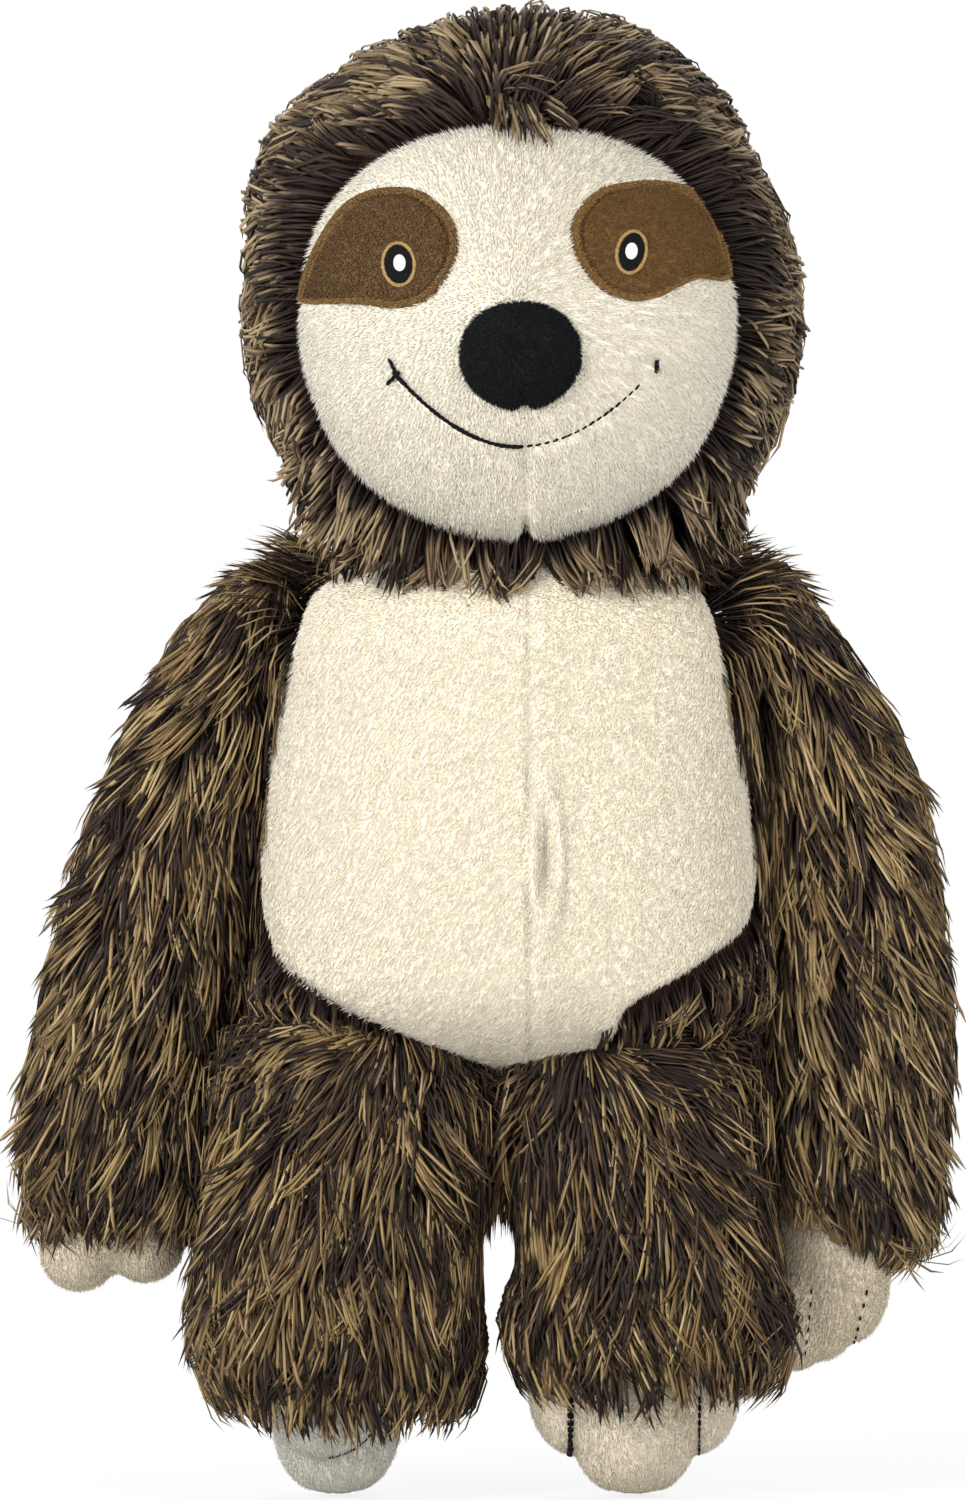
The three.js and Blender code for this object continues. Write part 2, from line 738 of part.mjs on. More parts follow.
function buildArm(arm) {
  const cuff = arm.tip + ARM.cuffRise;
  const sleeve = shellOf((inset) => armForm(arm, inset), LONG_PILE).intersect(above(cuff));
  piece(`${arm.side}_arm_sleeve`, sleeve, COLOURS.longPile);

  const paw = (inset) => pawForm(arm, inset);
  piece(`${arm.side}_paw`, shellOf(paw, SHORT_PILE).intersect(below(cuff - GAP)), COLOURS.cream);
  const core = joinedAt(cuff - GAP, armForm(arm, LONG_PILE, LOOSE), paw(SHORT_PILE + LOOSE));
  piece(`${arm.side}_arm_filling`, core, COLOURS.filling);
  for (const [place, side] of [["inner", -1], ["outer", 1]]) {
    const x = arm.paw.x + (side * arm.away * arm.paw.halfWidth) / 3;
    const z = arm.paw.bottom + STITCH.above + STITCH.halfLength;
    const stitch = valleyStitch(paw, x, ARM.y, z, 0).intersect(below(cuff - GAP));
    piece(`${arm.side}_finger_stitch_${place}`, stitch, COLOURS.blackThread);
  }
}

function buildLeg(leg) {
  const cuff = LEG.tip + LEG.cuffRise;
  const sleeve = shellOf((inset) => legForm(leg, inset), LONG_PILE).intersect(above(cuff));
  piece(`${leg.side}_leg_sleeve`, sleeve, COLOURS.longPile);

  const foot = (inset) => footForm(leg, inset);
  piece(`${leg.side}_foot`, shellOf(foot, SHORT_PILE).intersect(below(cuff - GAP)), COLOURS.cream);
  const core = joinedAt(cuff - GAP, legForm(leg, LONG_PILE, LOOSE), foot(SHORT_PILE + LOOSE));
  piece(`${leg.side}_leg_filling`, core, COLOURS.filling);
  const turn = THREE.MathUtils.degToRad(leg.turn);
  for (const [place, side] of [["inner", -1], ["outer", 1]]) {
    const across = side * leg.away * (FOOT.toe.halfWidth - THREAD);
    const x = leg.foot.x + across * Math.cos(turn);
    const y = leg.foot.y + across * Math.sin(turn);
    const z = FOOT.sideToe.lift + STITCH.above;
    const stitch = valleyStitch(foot, x, y, z + THREAD, leg.turn).intersect(below(cuff - GAP));
    piece(`${leg.side}_toe_stitch_${place}`, stitch, COLOURS.blackThread);
  }
}

buildHead();
buildTorso();
buildArm(RIGHT_ARM);
buildArm(LEFT_ARM);
buildLeg(RIGHT_LEG);
buildLeg(LEFT_LEG);

export default toy;
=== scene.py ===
# A standing plush sloth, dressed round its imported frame. Sizes are in millimetres unless a name says otherwise:
# +Z is up, the face looks along -Y, and the toy's own left is +X. Long pile and short nap are real strands that
# Geometry Nodes root in each cover's cloth, and every cover moves with the body that it is sewn to.

import math
from dataclasses import dataclass
from types import SimpleNamespace as Sizes

import bmesh
import bpy
import numpy as np
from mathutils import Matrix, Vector, noise
from mathutils.bvhtree import BVHTree


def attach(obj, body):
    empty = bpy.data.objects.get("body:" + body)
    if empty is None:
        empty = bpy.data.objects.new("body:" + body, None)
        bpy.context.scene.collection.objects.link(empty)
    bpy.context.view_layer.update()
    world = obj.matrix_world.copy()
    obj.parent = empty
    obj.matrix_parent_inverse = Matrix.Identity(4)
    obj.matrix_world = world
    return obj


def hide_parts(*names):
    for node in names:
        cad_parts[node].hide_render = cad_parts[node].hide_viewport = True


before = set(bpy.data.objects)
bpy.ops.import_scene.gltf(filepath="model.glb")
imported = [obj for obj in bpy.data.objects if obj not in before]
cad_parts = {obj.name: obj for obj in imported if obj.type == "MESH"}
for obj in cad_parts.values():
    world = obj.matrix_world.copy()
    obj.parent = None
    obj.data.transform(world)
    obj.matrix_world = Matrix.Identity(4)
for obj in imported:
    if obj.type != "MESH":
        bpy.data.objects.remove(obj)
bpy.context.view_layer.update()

MM = 0.001
DOWN = np.array([0, 0, -1.0])

# The photograph's height in pixels, a pixel's size, and where it was taken from
IMAGE_HEIGHT = 1500
PIXEL = 0.2
CAMERA = Sizes(x=-1.7, z=149.4, distance=2600, elevation_degrees=0.5, sensor=36)

HEAD = Sizes(x=6.2, y=3)
# The hood's cloth is a little squarer than a ball, and above the eyes it leans to the toy's right
HOOD = Sizes(z=238.6, half_width=49.8, half_depth=42.4, half_height=52.2, squareness=2.2, rim=189.4, around=96)
HOOD_LEAN = Sizes(aside=3.2, z=267, reach=15)
# How far behind the face the hood's socket lies
SOCKET_GAP = 3

# Where the hood's pile stands highest, where it has grown short beside that, and where it parts over the forehead
HOOD_TOP_X = 8
HOOD_SHORT_X = -18
PARTING_X = 2.6
# Tufts over the forehead: x, z, radius, the way they set out in degrees, their turn in radians a metre, their pile
TUFTS = [
    (2.3, 276.2, 3, 80, -118, 26),
    (24.3, 277, 2.6, 80, -250, 14),
    (2.4, 277.5, 3, -90, 0, 9),
    (8, 276, 3, -60, 20, 11),
]

FACE = Sizes(x=5.1, y=-9, z=232.7, half_width=44.5, half_depth=36, chin=42, forehead=40.4, tilt_degrees=1.8)
FACE_WIDTH_SHARES = [0.96, 0.985, 0.97, 0.98, 0.99, 1, 1]
FOREHEAD_SQUARENESS = 2.3
# The dart starts at top under the nose, is full depth a fade further down, and is deepest at the chin
DART = Sizes(across=1.6, top=-17.5, fade=12, width=1.3, depth=1.3, more_at_chin=1.2)

# An eye's ring of thread and its glint, with the glint's place from the eye's middle
EYE = Sizes(ring=0.6, glint_half_width=1.2, glint_half_height=1.65, glint_across=0.1, glint_up=0.25)
# Each eye's middle on the face, its lean in degrees and its half-width and half-height
EYE_PLACES = {"right": ((-22.9, 13.4), 4, 3.4, 4.5), "left": ((22.8, 14.3), -14, 3.15, 4.5)}
# The eye patches' edges on the face, and their seams from the inner end over the top: shares outwards and upwards
PATCH = {
    "right": Sizes(inner=11.0, outer=42.9, bottom=4.8, top=28.7),
    "left": Sizes(inner=11.2, outer=42.7, bottom=4.7, top=28.6),
}
PATCH_OUTLINE_SHARES = {
    "right": [
        (0, 0.54), (0.06, 0.77), (0.24, 0.97), (0.48, 1), (0.65, 0.93), (0.78, 0.77), (0.9, 0.52), (0.99, 0.24),
        (1, 0.09), (0.83, 0.06), (0.62, 0.04), (0.45, 0), (0.3, 0.01), (0.16, 0.1), (0.04, 0.32),
    ],
    "left": [
        (0, 0.46), (0.01, 0.69), (0.14, 0.9), (0.31, 0.98), (0.56, 1), (0.75, 0.93), (0.89, 0.76), (0.97, 0.5),
        (1, 0.26), (0.97, 0.16), (0.79, 0.17), (0.67, 0.11), (0.52, 0.02), (0.35, 0), (0.18, 0.09), (0.07, 0.26),
    ],
}
NOSE = Sizes(across=0.4, up=-5.4, half_width=11.9, half_height=10.5, height=5.4, narrowing=0.12, notch=1.3)
NOSE_POWER = 0.92
# The mouth's halves set out beside its lowest point and rise to their corners
MOUTH = Sizes(half_gap=0.6, low=-22.9, rise_power=1.9, corners={-1: (-23.9, -8.2), 1: (26.6, -8.6)})
# Where the left half is stitched, from and to shares of its way outwards, and the places laid on each stretch
MOUTH_DASH_SHARES = [(0.05, 0.3), (0.34, 0.62), (0.66, 0.86)]
MOUTH_DASH_PLACES = [10, 12, 9]

TORSO = Sizes(
    x=4.1,
    y=3,
    bottom=84,
    crown=193,
    neck=188,
    half_width=52,
    half_depth=40,
    low_dome=22,
    high_dome=24,
    squareness=2.2,
)
TORSO_WIDTH_SHARES = [1, 1, 1, 0.99, 0.97, 0.945, 0.92, 0.9, 0.86]
TORSO_DEPTH_SHARES = [0.94, 0.99, 1, 0.99, 0.96, 0.92, 0.87, 0.82, 0.76]
BELLY = Sizes(x=2.8, bottom=85, top=187.8, half_width=49.6, seam_x=7.3, seam_depth=0.35, edge_depth=4.0)
BELLY_SHARES = {
    -1: [0, 0.34, 0.68, 0.89, 0.955, 0.98, 1, 0.985, 0.96, 0.94, 0.91, 0.875, 0.84, 0.79, 0.7, 0.58],
    1: [0.22, 0.42, 0.5, 0.76, 0.95, 1, 1.01, 0.99, 0.975, 0.95, 0.92, 0.89, 0.855, 0.81, 0.72, 0.6],
}
NAVEL = Sizes(x=10.6, z=128.5, half_width=1.3, half_height=5.6, depth=2.0, lip=1.2)

ARM = Sizes(y=11, pivot=176, crown=191, half_depth=16.5, low_dome=17, high_dome=15, squareness=2.2)
ARM_DEPTH_SHARES = [1, 1.02, 1.03, 1.02, 1, 0.97, 0.94, 0.88, 0.8]
RIGHT_ARM = Sizes(
    side="right",
    away=-1,
    tip=45,
    reach=98.2,
    reach_shares=[0.955, 1, 0.98, 0.945, 0.9, 0.845, 0.76, 0.67, 0.575],
    flank_near=45.6,
    flank_far=64.2,
    flank_settle=120,
    cuff_inner=57,
    cuff_outer=57,
    tuck=6.5,
    swell=1.6,
    paw=Sizes(x=-76.2, bottom=39.8, half_width=14.2, half_depth=12, height=30, spread=6.6, lean=0),
    stitch_top=24,
    finger_lift_shares=[0.06, 0.12, 0],
)
LEFT_ARM = Sizes(
    side="left",
    away=1,
    tip=37,
    reach=88,
    reach_shares=[0.92, 0.98, 0.99, 1, 0.98, 0.955, 0.88, 0.755, 0.66],
    flank_near=45.7,
    flank_far=54,
    flank_settle=70,
    cuff_inner=66,
    cuff_outer=47,
    tuck=3.6,
    swell=0.4,
    paw=Sizes(x=68.3, bottom=23.8, half_width=12.6, half_depth=12, height=40, spread=5.4, lean=1.8),
    stitch_top=17,
    finger_lift_shares=[0, 0.05, 0.14],
)
FINGER = Sizes(width_share=0.58, deep_share=0.9, long_share=0.62, squareness=2.1, line_length=12)
PALM_SQUARENESS = 2.3

LEG = Sizes(y=-3, hip=80, tip=11, half_depth=23, squareness=2.5, hem_rise=11, hem_reach=40, middle_share=0.95)
LEG_WIDTH_SHARES = [0.93, 1, 1, 0.985, 0.96, 0.93, 0.9]
LEG_DEPTH_SHARES = [1, 1.06, 1.08, 1.08, 1.06, 1.03, 1]
# hem is the cover's lower edge, gap_low where the gap between the legs ends below, and flare how much longer the
# pile low on the outer side is
RIGHT_LEG = Sizes(
    side="right",
    away=-1,
    inner=-0.2,
    outer=-59.4,
    hem=24,
    gap_low=30,
    flare=0,
    low=14,
    low_dome=18,
    foot_depth_share=0.8,
    whorl_x=-22,
    whorl_z=95,
    turn_degrees=78,
    foot_x=-31,
    foot_y=2,
)
LEFT_LEG = Sizes(
    side="left",
    away=1,
    inner=3.2,
    outer=57,
    hem=29,
    gap_low=45,
    flare=4.5,
    low=19,
    low_dome=18,
    foot_depth_share=1,
    whorl_x=21.5,
    whorl_z=93,
    turn_degrees=0,
    foot_x=28.6,
    foot_y=2,
)
TOE = Sizes(half_width=13.8, half_depth=17, half_height=16, squareness=2.3, lift=0.6, sole_cut=0.5)
TOE_LINE = Sizes(top=20, length=11, inner_width=1.5, outer_width=0.7)
SIDE_TOE = Sizes(half_width=9.9, half_depth=13.5, half_height=13.5, squareness=2.0, lift=7.6, across=12)

# Cloth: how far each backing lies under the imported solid's face, its wall, and the pile that stands on it
BACKING = 3.2
NAP_DEPTH = 1.1
SKIN_WALL = 1.2
BELLY_WALL = 1.4
STUFFING = BACKING + SKIN_WALL + 0.4
FUR = Sizes(length=19, thickness=0.6, lift=0.4, density=0.85)
NAP = Sizes(length=1.3, lift=0.55)
# Pile is a little paler or darker in soft patches this wide, by this share
MOTTLE = Sizes(width=8, share=0.4)
# The share of a strand map's width that one strand takes
STRAND_STRIP = 0.005
# Spreads the locks' places over the noise that tells them apart
LOCK_NOISE_SCALE = 977.0
# A cloth that curves away more tightly than this, in one over millimetres, counts as this
TIGHTEST_BEND = 0.12
# Rays that lay stitches and patches on the cloth start this far off
RAY_START = 300
FLOOR_HALF = 1500


# Shapes


def through(p, u):
    """The place at share u of the way from the second to the third of four points on a smooth curve."""
    bend = 2 * p[0] - 5 * p[1] + 4 * p[2] - p[3] + u * (3 * (p[1] - p[2]) + p[3] - p[0])
    return p[1] + 0.5 * u * (p[2] - p[0] + u * bend)


def along(shares, t):
    """A smooth value at share t of the way through a table, lowest end first."""
    table = np.asarray(shares, float)
    place = np.clip(t, 0, 1) * (len(table) - 1)
    i = np.minimum(np.floor(place).astype(int), len(table) - 2)
    return through([table[np.clip(i + k, 0, len(table) - 1)] for k in (-1, 0, 1, 2)], place - i)


def smooth_step(low, high, value):
    """A smooth rise from 0 at low to 1 at high, where low may be the greater of the two."""
    t = np.clip((value - low) / (high - low), 0, 1)
    return t * t * (3 - 2 * t)


def bell(value, width):
    """1 at 0, with a smooth fall on both sides."""
    return np.exp(-((value / width) ** 2))


def signed_power(value, power):
    return np.sign(value) * np.abs(value) ** power


def squared_circle(share, squareness):
    """The half-width of a squared circle at a share of its half-height."""
    return (1 - share**squareness) ** (1 / squareness)


def full_turn(count):
    return np.linspace(0, 2 * math.pi, count, endpoint=False)


def swayed(lay, other, share):
    """Directions turned towards others by a share at each place."""
    return lay * (1 - share[:, None]) + other * share[:, None]


def fullness(z, bottom, top, low_dome, high_dome):
    """How full a form is at height z, with a quarter ellipse at each end."""
    low = 1 - (z - bottom) / low_dome
    high = 1 - (top - z) / high_dome if high_dome else np.zeros_like(z)
    return np.sqrt(1 - np.clip(np.maximum(low, high), 0, 1) ** 2)


def super_ring(x, y, z, a, b, squareness, around):
    """Level rings of points, one row for each height."""
    angle = full_turn(around)
    rings = np.zeros((len(z), around, 3))
    rings[..., 0] = x[:, None] + a[:, None] * signed_power(np.cos(angle), 2 / squareness)
    rings[..., 1] = y[:, None] + b[:, None] * signed_power(np.sin(angle), 2 / squareness)
    rings[..., 2] = z[:, None]
    return rings


def evenly(low, high, count, profile):
    """Heights whose rings lie evenly along the form's side, by its half-width at each height."""
    fine = low + (high - low) * (0.5 - 0.5 * np.cos(np.linspace(0, math.pi, 400)))
    steps = np.hypot(np.diff(fine), np.diff(profile(fine)))
    travelled = np.concatenate([[0], np.cumsum(steps)])
    wanted = np.linspace(0, travelled[-1], count + 2)[1:-1]
    return np.interp(wanted, travelled, fine)


@dataclass
class Form:
    """A stuffed form on level rings. section gives x, y and both half-widths at a share of the height."""

    bottom: float
    top: float
    low_dome: float
    high_dome: float
    squareness: float
    section: callable

    def rings(self, inset, count, around, low=None, high=None):
        bottom, top = self.bottom + inset, self.top - inset

        def full(z):
            return fullness(z, bottom, top, self.low_dome - inset, self.high_dome - inset)

        def width(z):
            return (self.section(self.share(z))[2] - inset) * full(z)

        z = evenly(bottom if low is None else low, top if high is None else high, count, width)
        x, y, a, b = self.section(self.share(z))
        return super_ring(x, y, z, (a - inset) * full(z), (b - inset) * full(z), self.squareness, around)

    def share(self, z):
        return (z - self.bottom) / (self.top - self.bottom)

    def pole(self, z):
        x, y, _, _ = self.section(self.share(np.array([z])))
        return np.array([x[0], y[0], z])


def hood_section(z):
    """The middle and both half-widths of the hood's cloth at a height."""
    up = np.clip((z - HOOD.z) / HOOD.half_height, -1, 1)
    full = squared_circle(np.abs(up), HOOD.squareness)
    middle = HEAD.x - HOOD_LEAN.aside * bell(z - HOOD_LEAN.z, HOOD_LEAN.reach)
    return middle, HOOD.half_width * full, HOOD.half_depth * full


def torso_section(t):
    flat = np.ones_like(t)
    return (
        TORSO.x * flat,
        TORSO.y * flat,
        TORSO.half_width * along(TORSO_WIDTH_SHARES, t),
        TORSO.half_depth * along(TORSO_DEPTH_SHARES, t),
    )


def arm_section(arm):
    length = ARM.crown - arm.tip

    def section(t):
        outer = arm.reach * along(arm.reach_shares, t)
        settled = np.clip((ARM.pivot - arm.tip - length * t) / arm.flank_settle, 0, 1)
        inner = arm.flank_near + (arm.flank_far - arm.flank_near) * settled * (2 - settled)
        return (
            TORSO.x + arm.away * (outer + inner) / 2,
            ARM.y * np.ones_like(t),
            (outer - inner) / 2,
            ARM.half_depth * along(ARM_DEPTH_SHARES, t),
        )

    return section


torso_form = Form(TORSO.bottom, TORSO.crown, TORSO.low_dome, TORSO.high_dome, TORSO.squareness, torso_section)


def arm_form(arm):
    return Form(arm.tip, ARM.crown, ARM.low_dome, ARM.high_dome, ARM.squareness, arm_section(arm))


def leg_middle(leg, width_share):
    """The x of a leg's middle where it has a share of its full width."""
    return leg.inner + (leg.outer - leg.inner) * width_share / 2


def leg_rings(leg, inset, around, barrel_rings, thigh_rings):
    """A leg swells downwards, and its thigh is round about the hip's axis. Its lower end is open at the cuff."""
    half_width = abs(leg.outer - leg.inner) / 2
    z = leg.hem + (LEG.hip - leg.hem) * np.linspace(0, 1, barrel_rings) ** 1.5
    t = (z - LEG.tip) / (LEG.hip - LEG.tip)
    width_share = along(LEG_WIDTH_SHARES, t)
    full = fullness(z, leg.low, LEG.hip + LEG.half_depth, leg.low_dome, 0)
    barrel = super_ring(
        leg_middle(leg, width_share),
        LEG.y * np.ones_like(z),
        z,
        (half_width * width_share - inset) * full,
        (LEG.half_depth * along(LEG_DEPTH_SHARES, t) - inset) * full,
        LEG.squareness,
        around,
    )
    wide = half_width * LEG_WIDTH_SHARES[-1] - inset
    deep = LEG.half_depth * LEG_DEPTH_SHARES[-1] - inset
    up = deep * np.sin(np.linspace(0, math.pi / 2, thigh_rings + 2)[1:-1])
    reach = wide * squared_circle(up / deep, LEG.squareness)
    flat = np.zeros_like(up)
    thigh = super_ring(flat, flat, up, reach, flat + 1, LEG.squareness, around)
    radius = deep * squared_circle(np.minimum(np.abs(thigh[..., 0] / wide), 1), LEG.squareness)
    half = np.sqrt(np.maximum(radius**2 - thigh[..., 2] ** 2, 0))
    thigh[..., 0] += leg_middle(leg, LEG_WIDTH_SHARES[-1])
    thigh[..., 1] = LEG.y + half * np.sign(thigh[..., 1])
    thigh[..., 2] += LEG.hip
    crown = np.array([leg_middle(leg, LEG_WIDTH_SHARES[-1]), LEG.y, LEG.hip + deep])
    # The open end is higher at the leg's sides than at its front
    sideways = np.abs(barrel[..., 0] - leg_middle(leg, LEG.middle_share)) / half_width
    barrel[..., 2] += LEG.hem_rise * sideways**3 * smooth_step(leg.hem + LEG.hem_reach, leg.hem, barrel[..., 2])
    return np.concatenate([barrel, thigh]), crown


def face_lean(across, up):
    """A place on the face as seen from the front, from its middle, with the face's slight lean."""
    lean = math.radians(FACE.tilt_degrees)
    across, up = np.asarray(across, float), np.asarray(up, float)
    return (
        FACE.x + across * math.cos(lean) - up * math.sin(lean),
        FACE.z + across * math.sin(lean) + up * math.cos(lean),
    )


def face_reach(x, z):
    """How far out a point of the front view lies on the face: 0 in its middle and 1 on its seam."""
    up = (z - FACE.z) / np.where(z > FACE.z, FACE.forehead, FACE.chin)
    half = FACE.half_width * along(FACE_WIDTH_SHARES, (up + 1) / 2)
    power = np.where(up > 0, FOREHEAD_SQUARENESS, 2)
    return (np.abs((x - FACE.x) / half) ** power + np.abs(up) ** power) ** (1 / power)


def hood_front(x, z):
    """The hood's cloth as seen from the front: its y at a place, or the head's middle past its edge."""
    middle, a, b = hood_section(z)
    return HEAD.y - b * np.sqrt(np.maximum(1 - ((x - middle) / np.maximum(a, 1)) ** 2, 0))


def face_front(x, z):
    """The face's cloth as seen from the front: its y at a place. Its seam lies in the hood's edge."""
    rho = np.minimum(face_reach(x, z), 1)
    seam_share = 1 / np.maximum(rho, 0.05)
    seam_x = FACE.x + (x - FACE.x) * seam_share
    seam_z = FACE.z + (z - FACE.z) * seam_share
    seam = np.minimum(hood_front(seam_x, seam_z) - 1, FACE.y)
    apex = FACE.y - FACE.half_depth + NAP_DEPTH
    return seam + (apex - seam) * np.sqrt(1 - rho**2)


# Meshes


def linked(name, data):
    """A new object in the scene."""
    made = bpy.data.objects.new(name, data)
    bpy.context.scene.collection.objects.link(made)
    return made


def mesh_object(name, places, faces):
    mesh = bpy.data.meshes.new(name)
    mesh.from_pydata((np.asarray(places) * MM).tolist(), [], faces)
    mesh.validate()
    mesh.shade_smooth()
    return linked(name, mesh)


def ring_faces(rings, around, first=0):
    faces = []
    for r in range(rings - 1):
        a = first + r * around
        b = a + around
        for j in range(around):
            n = (j + 1) % around
            faces.append((a + j, a + n, b + n, b + j))
    return faces


def stack(name, rings, low=None, high=None):
    """A skin over rings, lowest first, with a pole where one is given."""
    count, around = rings.shape[:2]
    places = list(rings.reshape(-1, 3))
    faces = ring_faces(count, around)
    for pole, start, turn in ((low, 0, 1), (high, (count - 1) * around, 0)):
        if pole is None:
            continue
        places.append(pole)
        tip = len(places) - 1
        for j in range(around):
            n = (j + 1) % around
            faces.append((tip, start + n, start + j) if turn else (tip, start + j, start + n))
    return mesh_object(name, places, faces)


def apply_modifiers(made):
    """Takes what the modifiers show into the object's own mesh."""
    depsgraph = bpy.context.evaluated_depsgraph_get()
    mesh = bpy.data.meshes.new_from_object(made.evaluated_get(depsgraph), depsgraph=depsgraph)
    old = made.data
    made.modifiers.clear()
    made.data = mesh
    bpy.data.meshes.remove(old)
    return made


def thickened(made, wall=SKIN_WALL):
    """Gives an open skin an inner side, so that its edge is closed."""
    wall_modifier = made.modifiers.new("wall", "SOLIDIFY")
    wall_modifier.thickness = wall * MM
    wall_modifier.offset = -1
    return apply_modifiers(made)


def places_of(made):
    """The vertices in millimetres, and their normals."""
    mesh = made.data
    places = np.zeros(len(mesh.vertices) * 3)
    normals = np.zeros(len(mesh.vertices) * 3)
    mesh.vertices.foreach_get("co", places)
    mesh.vertices.foreach_get("normal", normals)
    return places.reshape(-1, 3) / MM, normals.reshape(-1, 3)


def move_to(made, places):
    made.data.vertices.foreach_set("co", (places * MM).ravel())
    made.data.update()


def keep(made, name, values):
    """Stores a number or a direction for each vertex, which the trees read by its name."""
    values = np.asarray(values, np.float32)
    kind, field = ("FLOAT_VECTOR", "vector") if values.ndim == 2 else ("FLOAT", "value")
    kept = made.data.attributes.get(name) or made.data.attributes.new(name, kind, "POINT")
    kept.data.foreach_set(field, values.ravel())


def unit(vectors):
    """Each vector made one long."""
    return vectors / np.maximum(np.linalg.norm(vectors, axis=1, keepdims=True), 1e-9)


def tangent(vectors, normals):
    """The part of each vector that lies in the cloth, one long."""
    return unit(vectors - normals * np.sum(vectors * normals, axis=1, keepdims=True))


def surface_of(made):
    """A search tree over a mesh, in millimetres, for laying stitches on it."""
    shape = bmesh.new()
    shape.from_mesh(made.data)
    bmesh.ops.scale(shape, vec=(1 / MM,) * 3, verts=shape.verts)
    tree = BVHTree.FromBMesh(shape)
    shape.free()
    return tree


# Node trees


class Wire:
    """A socket that takes part in sums."""

    def __init__(self, net, socket):
        self.net = net
        self.socket = socket

    def is_vector(self):
        return self.socket.type in ("VECTOR", "RGBA")

    def math(self, operation, *others):
        """A Math node, or a Vector Math node where a term is a vector."""
        terms = (self, *others)
        vector = any(isinstance(t, (tuple, Vector)) or isinstance(t, Wire) and t.is_vector() for t in terms)
        kind = "ShaderNodeVectorMath" if vector else "ShaderNodeMath"
        inputs = {i: (t,) * 3 if vector and isinstance(t, (int, float)) else t for i, t in enumerate(terms)}
        return self.net.node(kind, {"operation": operation}, inputs)[0]

    def __add__(self, other):
        return self.math("ADD", other)

    __radd__ = __add__

    def __mul__(self, other):
        return self.math("MULTIPLY", other)

    __rmul__ = __mul__

    def __sub__(self, other):
        return self.math("SUBTRACT", other)

    def __rsub__(self, other):
        return (self * -1) + other

    def __truediv__(self, other):
        return self.math("DIVIDE", other)

    def __pow__(self, other):
        return self.math("POWER", other)

    def ramp(self, low, high, start=0.0, end=1.0):
        """A smooth rise from start to end while the value goes from low to high."""
        sockets = {"Value": self, "From Min": low, "From Max": high, "To Min": start, "To Max": end}
        return self.net.node("ShaderNodeMapRange", {"interpolation_type": "SMOOTHSTEP"}, sockets)[0]


class Net:
    """A node tree under construction."""

    def __init__(self, tree):
        self.tree = tree

    def node(self, kind, settings=None, inputs=None):
        """Adds a node, its settings first, and returns its outputs, by place or by name."""
        made = self.tree.nodes.new(kind)
        for name, value in (settings or {}).items():
            setattr(made, name, value)
        for key, value in (inputs or {}).items():
            self.feed(made, key, value)
        shown = [s for s in made.outputs if s.enabled]
        outputs = {s.name: Wire(self, s) for s in reversed(shown)}
        outputs.update({i: Wire(self, s) for i, s in enumerate(shown)})
        return outputs

    def feed(self, made, key, value):
        shown = [s for s in made.inputs if s.enabled]
        socket = shown[key] if isinstance(key, int) else next(s for s in shown if s.name == key)
        if isinstance(value, Wire):
            self.tree.links.new(value.socket, socket)
        else:
            socket.default_value = value

    def mix(self, factor, first, second):
        """A blend of two colours."""
        mixed = self.node("ShaderNodeMix", {"data_type": "RGBA"}, {"Factor": factor, "A": first, "B": second})
        return mixed["Result"]


def linear(colour):
    """A colour written as six hexadecimal digits, as shaders take it."""
    parts = [int(colour[i : i + 2], 16) / 255 for i in (0, 2, 4)]
    return (*(p / 12.92 if p <= 0.04045 else ((p + 0.055) / 1.055) ** 2.4 for p in parts), 1.0)


def toned(net, tone, dark, light):
    """A colour between two, by a noise that is mostly near its middle."""
    return net.mix(tone.ramp(0.3, 0.7), linear(dark), linear(light))


def cloth(name, roughness=0.9, sheen=0.0, sheen_tint="ffffff", specular=0.3):
    """A material with one shader, and the net that its colour is made in."""
    material = bpy.data.materials.new(name)
    material.use_nodes = True
    net = Net(material.node_tree)
    shader = material.node_tree.nodes["Principled BSDF"]
    shader.inputs["Roughness"].default_value = roughness
    shader.inputs["Specular IOR Level"].default_value = specular
    shader.inputs["Sheen Weight"].default_value = sheen
    shader.inputs["Sheen Tint"].default_value = linear(sheen_tint)
    return material, net, shader


def separated(net, vector):
    return net.node("ShaderNodeSeparateXYZ", None, {0: vector})


def combined(net, x=0.0, y=0.0, z=0.0):
    return net.node("ShaderNodeCombineXYZ", None, {"X": x, "Y": y, "Z": z})[0]


def strand_map(net):
    """Where a strand's point lies on its own map: u picks the strand's tone, and v runs from root to tip."""
    parts = separated(net, net.node("ShaderNodeUVMap", {"uv_map": "OFBake"})[0])
    return parts[0], parts[1]


def noise_1d(net, value, scale):
    """A tone for each strand, from its place on the strand map."""
    sockets = {"W": value, "Scale": scale, "Detail": 0.0}
    return net.node("ShaderNodeTexNoise", {"noise_dimensions": "1D"}, sockets)[0]


def noise_3d(net, scale, detail=2.0, stretch=(1, 1, 1)):
    """Noise over the object's own place, in millimetres."""
    place = net.node("ShaderNodeTexCoord")["Object"]
    mapped = net.node("ShaderNodeMapping", None, {"Vector": place, "Scale": tuple(s / MM for s in stretch)})[0]
    sockets = {"Vector": mapped, "Scale": scale, "Detail": detail}
    return net.node("ShaderNodeTexNoise", {"noise_dimensions": "3D"}, sockets)[0]


def bumped(net, shader, height, depth):
    sockets = {"Height": height, "Distance": depth * MM, "Strength": 1.0}
    net.feed(shader, "Normal", net.node("ShaderNodeBump", None, sockets)[0])


# Finishes

ROOT_COLOURS = ("1b1310", "36281f")
DULL_TAN = "523d28"


